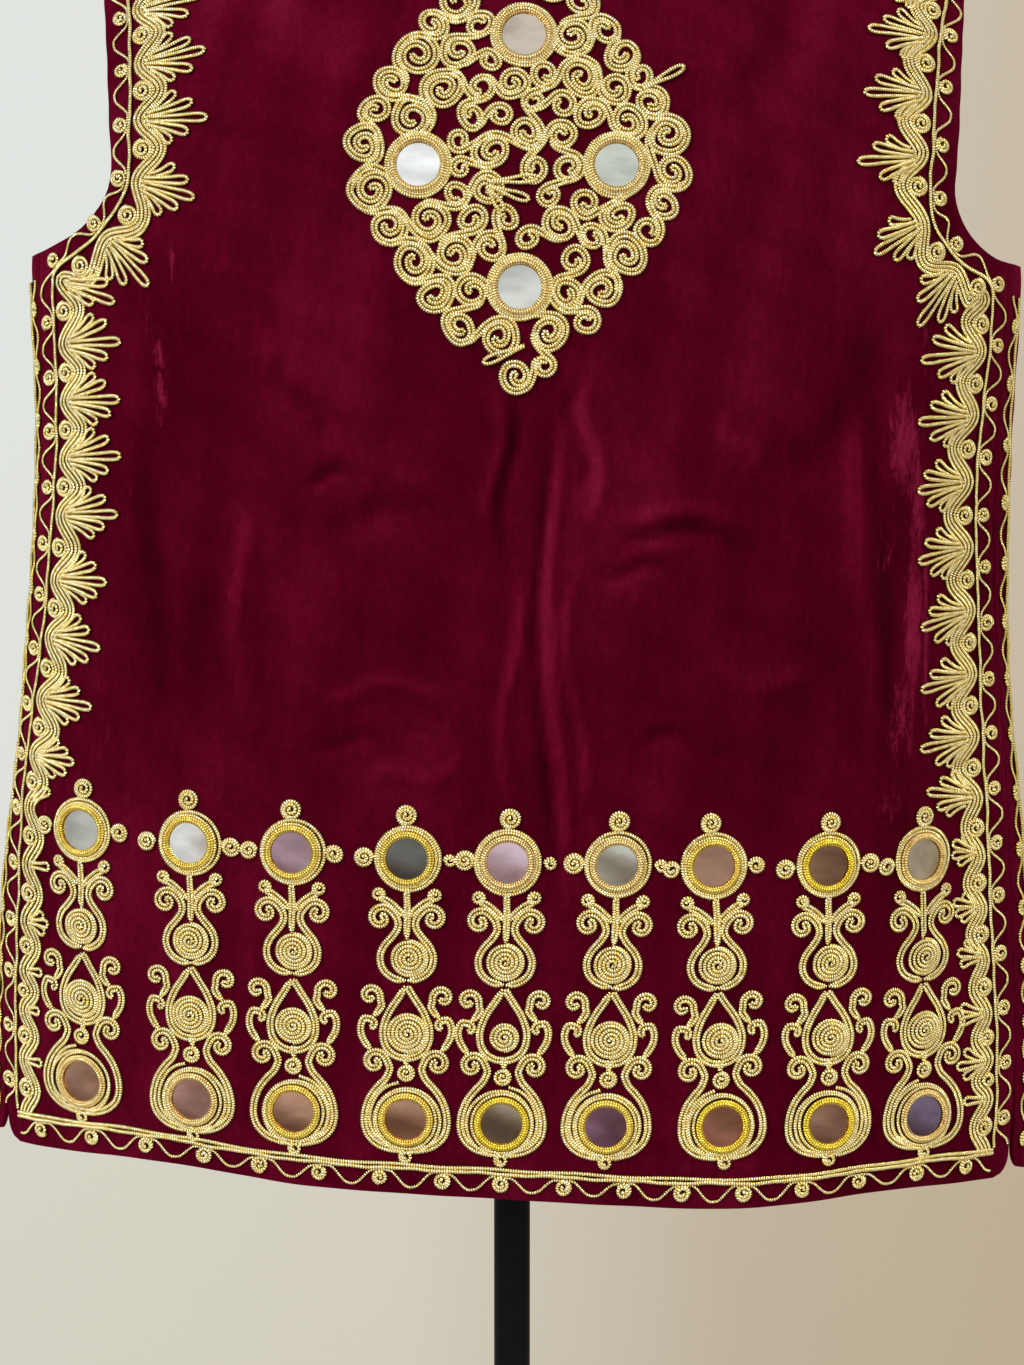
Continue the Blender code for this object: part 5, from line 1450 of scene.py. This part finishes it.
def edge_trim(path, start, end, pitch, shake):
    """The border cord itself, with its coils and wavy cord on the outer side."""
    whole = np.linspace(start, end, int((end - start) / 0.002))
    wobble = 0.25 * MM * np.sin(whole * 170) + 0.15 * MM * np.sin(whole * 411)
    runs = [(path.at(whole, wobble), 0.0004)]
    count = max(int(round((end - start) / pitch)), 1)
    gap = (end - start) / count
    shifts = [shake.uniform(-0.9, 0.9) * MM for _ in range(count)]
    for k, shift in enumerate(shifts):
        centre = path.at(start + (k + 0.5) * gap + shift, TRIM_COILS)[0]
        radius, end = shake.uniform(3.9, 4.5) * MM, shake.uniform(0, 6.28)
        runs.append((coil(centre, radius, end, shake.choice((-1, 1)), 0.0006), 0.0))
    share = (whole - start) / gap - 0.5
    bulge = smooth_step(np.abs(share - np.round(share)), 0.13, 0.46)
    wave = -(1.5 + 7.1 * bulge + 0.4 * np.sin(whole * 260)) * MM
    return runs + [(path.at(whole, wave), -0.0001, FINE_CORD)]


def petal(root, tip, aim):
    """A loop of cord from the root to the tip and back, leaving the root in the direction aim."""
    bend = root + around((0, 0), 0.5 * np.hypot(*(tip - root)), aim)
    share = np.array(PETAL_SHAPE)[:, :1]
    middles = (1 - share) ** 2 * root + 2 * share * (1 - share) * bend + share ** 2 * tip
    along = (1 - share) * (bend - root) + share * (tip - bend)
    forward = along / np.hypot(along[:, 0], along[:, 1])[:, None]
    return smooth(loop(middles, forward, PETAL_SHAPE), 7)


# Fans of petals: how far each turns up from the palmette's axis in degrees, and its share
# of the axis's length from the root.
Petal = namedtuple("Petal", "degrees share")
FANS = {
    "upper": (Petal(36, 0.56), Petal(17, 0.76), Petal(0, 0.96), Petal(-19, 0.74), Petal(-36, 0.55)),
    "lower": (Petal(37, 0.66), Petal(19, 0.82), Petal(0, 1.00), Petal(-17, 0.82), Petal(-33, 0.64)),
    "corner": (Petal(34, 0.60), Petal(17, 0.78), Petal(1, 0.95), Petal(-13, 0.62)),
    "four": (Petal(36, 0.72), Petal(13, 1.00), Petal(-11, 0.92), Petal(-34, 0.72)),
    "three": (Petal(32, 0.82), Petal(3, 1.00), Petal(-26, 0.86)),
    "two": (Petal(20, 0.95), Petal(-16, 1.00)),
    "one": (Petal(0, 1.00),),
    "none": (),
}


def border_across(up, side):
    """Centre back to the border cord."""
    keys = [row.up for row in BORDER_LINE]
    return float(np.interp(up, keys, [getattr(row, side_name(side)) for row in BORDER_LINE]))


def border_place(up, side):
    """Flat place of the border cord at this height on the cloth."""
    return cloth.behind(side * border_across(up, side), up)[0]


def palmette_tip(row, side):
    """Flat place of a palmette's tip, set out on the cloth as the solids are."""
    rise = 0.012
    low, root, high = (np.array([side * border_across(up, side), up])
                       for up in (row.up - rise, row.up, row.up + rise))
    direction = math.atan2(*(high - low)[::-1]) + side * (math.pi / 2 + math.radians(row.tilt))
    return cloth.behind(*around(root, row.length, direction))[0]


def palmette_runs(row, side, shake):
    """The petals of one palmette; the outer ones set out further along, beside the meander."""
    root = border_place(row.up, side)
    reach = palmette_tip(row, side) - root
    length = np.hypot(*reach)
    inset, spread = (7.0 * MM, 0.6) if length < SHORT_PALMETTE else (7.6 * MM, 1.0)
    axis = math.atan2(reach[1], reach[0])
    forward = reach / length
    upward = np.array([forward[1], -forward[0]]) * side
    if row.length < SMALL_PALMETTE:
        length += SMALL_PALMETTE_LONGER
    start = root + forward * inset
    petals = FANS[row.fan]
    runs = []
    for k, part in enumerate(petals):
        degrees = part.degrees + shake.uniform(-2.5, 2.5)
        rank = (len(petals) - 1) / 2 - k
        grown = (length - inset) * part.share * shake.uniform(0.96, 1.04)
        foot = start + (upward * rank * 2.1 + forward * abs(rank) * 1.6) * spread * MM
        tip = around(start, grown, axis - side * math.radians(degrees))
        tip += upward * rank * 0.7 * spread * MM
        aim = axis - side * math.radians(0.62 * degrees)
        runs.append((petal(foot, tip, aim), 0.0001 + 0.0003 * (k % 2)))
    return runs


def meander(path, roots, low):
    """Cords side by side that pass behind each palmette's root and round each spiral.

    The swing is smaller past the length low along the path, among the short palmettes."""
    start = max(roots[0] - 0.016, 0.001)
    along = np.linspace(start, roots[-1], int((roots[-1] - start) / 0.0012))
    phase = np.interp(along, roots, np.arange(len(roots)))
    crest = 0.5 - 0.5 * np.cos(2 * math.pi * phase)
    small = smooth_step(along, low - 0.02, low + 0.01)
    middle = mix(5.2, mix(15.0, 11.2, small), crest)
    run = evenly(path.at(along, middle * MM), 0.0010)
    return [(aside(run, (cord - (MEANDER_CORDS - 1) / 2) * PAIR), 0.0001 * (cord % 2))
            for cord in range(MEANDER_CORDS)]


def side_border(side):
    """Border cord, palmettes, spirals and the meander of cords up one side."""
    name = f"{side_name(side)}_side_border"
    shake = random.Random(21 + side)
    places = [(side * getattr(row, side_name(side)), row.up) for row in BORDER_LINE[::-1]]
    path = Path([cloth.behind(*place)[0] for place in places], -side)
    end = path.length[-1]
    runs = edge_trim(path, 0.002, end - 0.004, 0.0275, shake)
    roots = []
    for row in LEFT_PALMETTES if side < 0 else RIGHT_PALMETTES:
        roots.append(path.nearest(border_place(row.up, side)))
        runs += palmette_runs(row, side, shake)
    roots.append(end - 0.002)
    for root, after in zip(roots, roots[1:]):
        radius = min(0.20 * (after - root), 5.2 * MM)
        middle = path.at((root + after) / 2, radius + 1.3 * MM)[0]
        runs.append((coil(middle, radius, math.pi / 2, side, 0.0008), 0.0002))
    runs += meander(path, roots, path.nearest(border_place(SHORT_PALMETTES_UP, side)))
    sweep("cords_" + name, [lay(*run) for run in runs], [name])


def hem_border():
    """Two border cords along the hem, with coils and a wavy cord under them."""
    ends = [side * (border_across(HEM_LINE, side) - 0.001) for side in SIDES]
    places = [(across, hem_height(across) + HEM_LINE) for across in even(*ends, 40)]
    path = Path([cloth.behind(*place)[0] for place in places], 1)
    length = path.length[-1]
    runs = edge_trim(path, 0.0, length, 0.0285, random.Random(31))
    whole = np.linspace(0.0, length, 300)
    runs.append((path.at(whole, 1.9 * MM + 0.3 * MM * np.sin(whole * 140)), 0.0002))
    sweep("cords_hem_border", [lay(*run) for run in runs], ["hem_border"])


def front_border(side):
    """Border cord with coils and a wavy cord all round a front."""
    name = f"{side_name(side)}_front_border"
    low = hem_height(side * seam_across(0.0, side)) + FRONT_LINE
    points = []
    for up in even(underarm_height(side) - FRONT_LINE, low, 14):
        points.append((cloth.half_girth(up, side) - front_distance(up, side) + FRONT_LINE, up))
    corner = cloth.half_girth(low, side) - FRONT_OPENING / 2 - FRONT_LINE
    points += [(across, low) for across in even(points[-1][0], corner, 12)[1:]]
    for up in even(low, VEE_FOOT, 14)[1:] + even(VEE_FOOT, cloth.top - 0.012, 12)[1:]:
        points.append((cloth.half_girth(up, side) - front_edge(up, 0.0) - FRONT_LINE, up))
    path = Path([(side * across, up) for across, up in points], side)
    runs = edge_trim(path, 0.004, path.length[-1] - 0.002, 0.0285, random.Random(41 + side))
    sweep("cords_" + name, [lay(*run, flat=False) for run in runs], [name])


# ---- form and stand -----------------------------------------------------------------
def form_body(sides=96, body_rows=24, shoulder_rows=26):
    """Mesh of the padded form without its neck, closed along the shoulders' crest."""
    rings = [(height, 0.0) for height in even(FORM_RINGS[0].height, SHOULDER_START, body_rows)]
    rings += [(SHOULDER_START, math.pi / 2 * k / shoulder_rows) for k in range(1, shoulder_rows)]
    points = []
    for height, turn in rings:
        half, back, front = (float(smooth_row(FORM_RINGS, "height", column, height))
                             for column in FormRing._fields[1:])
        half *= 1 + 0.11 * math.sin(turn)
        for k in range(sides):
            angle = 2 * math.pi * k / sides
            x = half * math.sin(angle)
            y = -(back if math.cos(angle) > 0 else front) * math.cos(angle) * math.cos(turn)
            drop = 0.030 * abs(math.sin(angle)) ** 8
            crest = float(crest_height(x)) - FORM_UNDER - drop
            points.append((x, y, HEM_Z + height + (crest - SHOULDER_START) * math.sin(turn)))
    faces = grid_faces(len(rings), sides, closed=True)
    faces.append(tuple(range(sides))[::-1])
    last = (len(rings) - 1) * sides
    for k in range(sides // 2):
        across = (k, k + 1, (sides - k - 1) % sides, (sides - k) % sides)
        corners = tuple(dict.fromkeys(last + corner for corner in across))
        if len(corners) > 2:
            faces.append(corners)
    return smooth_mesh("body", points, faces)


def neck_post():
    """Mesh of the form's round neck, up through the vest's neckline."""
    low, high = HEM_Z + NECK_HEIGHT - 0.060, HEM_Z + NECK_HEIGHT + 0.055
    bm = bmesh.new()
    bmesh.ops.create_cone(bm, cap_ends=True, segments=64, radius1=FORM_NECK, radius2=FORM_NECK,
                          depth=high - low)
    bmesh.ops.translate(bm, verts=bm.verts, vec=(0.0, FORM_NECK_Y, (low + high) / 2))
    mesh = bpy.data.meshes.new("neck")
    bm.to_mesh(mesh)
    bm.free()
    return mesh


def form_cover():
    """The padded form with its neck, in jersey: joined, remeshed and softened."""
    body = bpy.data.objects.new("body", form_body())
    neck = bpy.data.objects.new("neck", neck_post())
    for thing in (body, neck):
        bpy.context.scene.collection.objects.link(thing)
    union = body.modifiers.new("neck", "BOOLEAN")
    union.object = neck
    union.operation = "UNION"
    voxels = body.modifiers.new("voxels", "REMESH")
    voxels.mode = "VOXEL"
    voxels.voxel_size = 0.0080
    soften = body.modifiers.new("soften", "SMOOTH")
    soften.iterations = 5
    soften.factor = 0.6
    bpy.context.view_layer.update()
    made = body.evaluated_get(bpy.context.evaluated_depsgraph_get())
    made = bpy.data.meshes.new_from_object(made)
    for thing in (body, neck):
        bpy.data.objects.remove(thing, do_unlink=True)
    made.name = "form_torso_cover"
    made.materials.clear()
    made.shade_smooth()
    piece = new_piece("form_torso_cover", made, jersey_material(), "form_jersey", ["form_torso"])


def rounded(radius, height, edge, outward, steps=5):
    """Profile points round an edge: outward 1 turns from flat to upright, -1 back."""
    turns = [math.pi / 2 * k / steps for k in range(steps + 1)]
    if outward > 0:
        return [(radius - edge + edge * math.sin(turn), height + edge - edge * math.cos(turn))
                for turn in turns]
    return [(radius - edge + edge * math.cos(turn), height - edge + edge * math.sin(turn))
            for turn in turns]


def turned(name, profile, material, slot, node, centre_y=0.0, steps=96):
    """A turned solid from its profile of (radius, height), closed at its bottom and top."""
    points = []
    for radius, height in profile:
        for k in range(steps):
            turn = 2 * math.pi * k / steps
            points.append((radius * math.cos(turn), centre_y + radius * math.sin(turn), height))
    points += [(0.0, centre_y, profile[0][1]), (0.0, centre_y, profile[-1][1])]
    new_piece(name, lathe_mesh(name, points, steps, 32), material, slot, [node])


def stand():
    """Base, pole and neck cap."""
    metal = metal_material()
    base = rounded(0.190, 0.0, 0.0025, 1) + rounded(0.190, 0.014, 0.004, -1)
    base += [(0.030, 0.0141), (0.0262, 0.0152), (0.0245, 0.018)] + rounded(0.024, 0.059, 0.004, -1)
    turned("stand_base_disc", base, metal, "black_metal", "stand_base")
    low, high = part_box("stand_pole")
    pole = rounded(0.0095, low[2], 0.0004, 1, 2) + rounded(0.0095, high[2], 0.0004, -1, 2)
    turned("stand_tube", pole, metal, "black_metal", "stand_pole", steps=64)
    low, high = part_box("form_neck_cap")
    cap = rounded(FORM_NECK, low[2], 0.003, 1) + rounded(FORM_NECK, high[2], 0.003, -1)
    turned("neck_cap", cap, wood_material(), "cap_wood", "form_neck_cap", FORM_NECK_Y)


# ---- stage --------------------------------------------------------------------------
Light = namedtuple("Light", "name location target size power colour")
LIGHTS = (
    Light("key", (-1.5, -1.9, 2.4), (0.0, 0.0, 1.15), 0.6, 40.0, (1.0, 0.98, 0.95)),
    Light("fill", (1.9, -1.8, 1.5), (0.0, 0.0, 1.1), 1.0, 9.0, (1.0, 0.91, 0.78)),
    Light("rear", (0.6, 2.4, 2.2), (0.0, 0.0, 1.1), 1.4, 18.0, (1.0, 0.98, 0.95)),
)


def soft_light(light):
    """A soft square light."""
    lamp = bpy.data.lights.new(light.name, "AREA")
    lamp.shape = "RECTANGLE"
    lamp.size = lamp.size_y = light.size
    lamp.energy = light.power
    lamp.color = light.colour
    piece = bpy.data.objects.new(light.name, lamp)
    piece.location = light.location
    aim = Vector(light.target) - Vector(light.location)
    piece.rotation_euler = aim.to_track_quat("-Z", "Y").to_euler()
    bpy.context.scene.collection.objects.link(piece)


def room():
    """A pale room: cool white to the left, warm to the right, painted shadow low on the wall ahead,
    brown low down behind the viewer.
    """
    world = bpy.data.worlds.new("pale_room")
    tree = Tree(world)
    where = tree.node("ShaderNodeTexCoord").outputs["Generated"]

    def band(output, *stops):
        """Colours along one direction, from -1 to 1."""
        share = tree.node("ShaderNodeMapRange", [("From Min", -1.0), ("Value", output)]).outputs[0]
        return tree.ramp(share, *(((place + 1.0) / 2.0, colour) for place, colour in stops))

    x, y, z = tree.node("ShaderNodeSeparateXYZ", [(0, where)]).outputs
    wall = band(x, (-0.24, (0.76, 0.79, 0.76)), (-0.05, (0.74, 0.75, 0.70)),
                (0.10, (0.60, 0.55, 0.45)), (0.24, (0.58, 0.50, 0.38)))
    # painted shadow: darker low on the wall ahead, below the vest
    shade = band(z, (-0.42, (0.86, 0.80, 0.72)), (-0.26, (0.90, 0.84, 0.76)),
                 (-0.18, (0.97, 0.95, 0.91)), (0.1, grey(1.0)))
    ahead = tree.blend(1.0, wall, shade, "MULTIPLY")
    behind = band(z, (-0.34, (0.34, 0.26, 0.21)), (-0.22, (0.65, 0.57, 0.52)),
                  (-0.13, (0.96, 0.94, 0.91)), (0.02, (1.24, 1.26, 1.26)))
    side = band(y, (-0.25, grey(0.0)), (0.25, grey(1.0)))
    sky = tree.tree.nodes["Background"].inputs
    tree.feed(sky["Color"], tree.blend(side, behind, ahead))
    sky["Strength"].default_value = 1.0
    bpy.context.scene.world = world


def stage():
    """Floor, lights, background and camera."""
    scene = bpy.context.scene
    bm = bmesh.new()
    bmesh.ops.create_circle(bm, cap_ends=True, segments=96, radius=FLOOR_RADIUS)
    mesh = bpy.data.meshes.new("floor")
    bm.to_mesh(mesh)
    bm.free()
    floor = bpy.data.objects.new("floor", mesh)
    floor.location.z = -0.0005
    mat = Material("floor_paint", 0.8)
    mat.colour(mat.ramp(mat.noise(3.0, 2.0), (0.3, (0.60, 0.585, 0.555)),
                        (0.7, (0.64, 0.625, 0.595))))
    mesh.materials.append(mat.made)
    scene.collection.objects.link(floor)
    room()
    for light in LIGHTS:
        soft_light(light)
    lens = bpy.data.cameras.new("camera")
    lens.lens = 56.7
    lens.sensor_width = 36.0
    camera = bpy.data.objects.new("camera", lens)
    camera.location = (0.0, -1.109, 1.1235)
    camera.rotation_euler = (math.radians(85.5), 0.0, 0.0)
    scene.collection.objects.link(camera)
    scene.camera = camera
    scene.view_settings.view_transform = "Standard"


back_velvet()
for side in SIDES:
    front_velvet(side)
medallion()
columns()
for side in SIDES:
    side_border(side)
hem_border()
for side in SIDES:
    front_border(side)
form_cover()
stand()
stage()
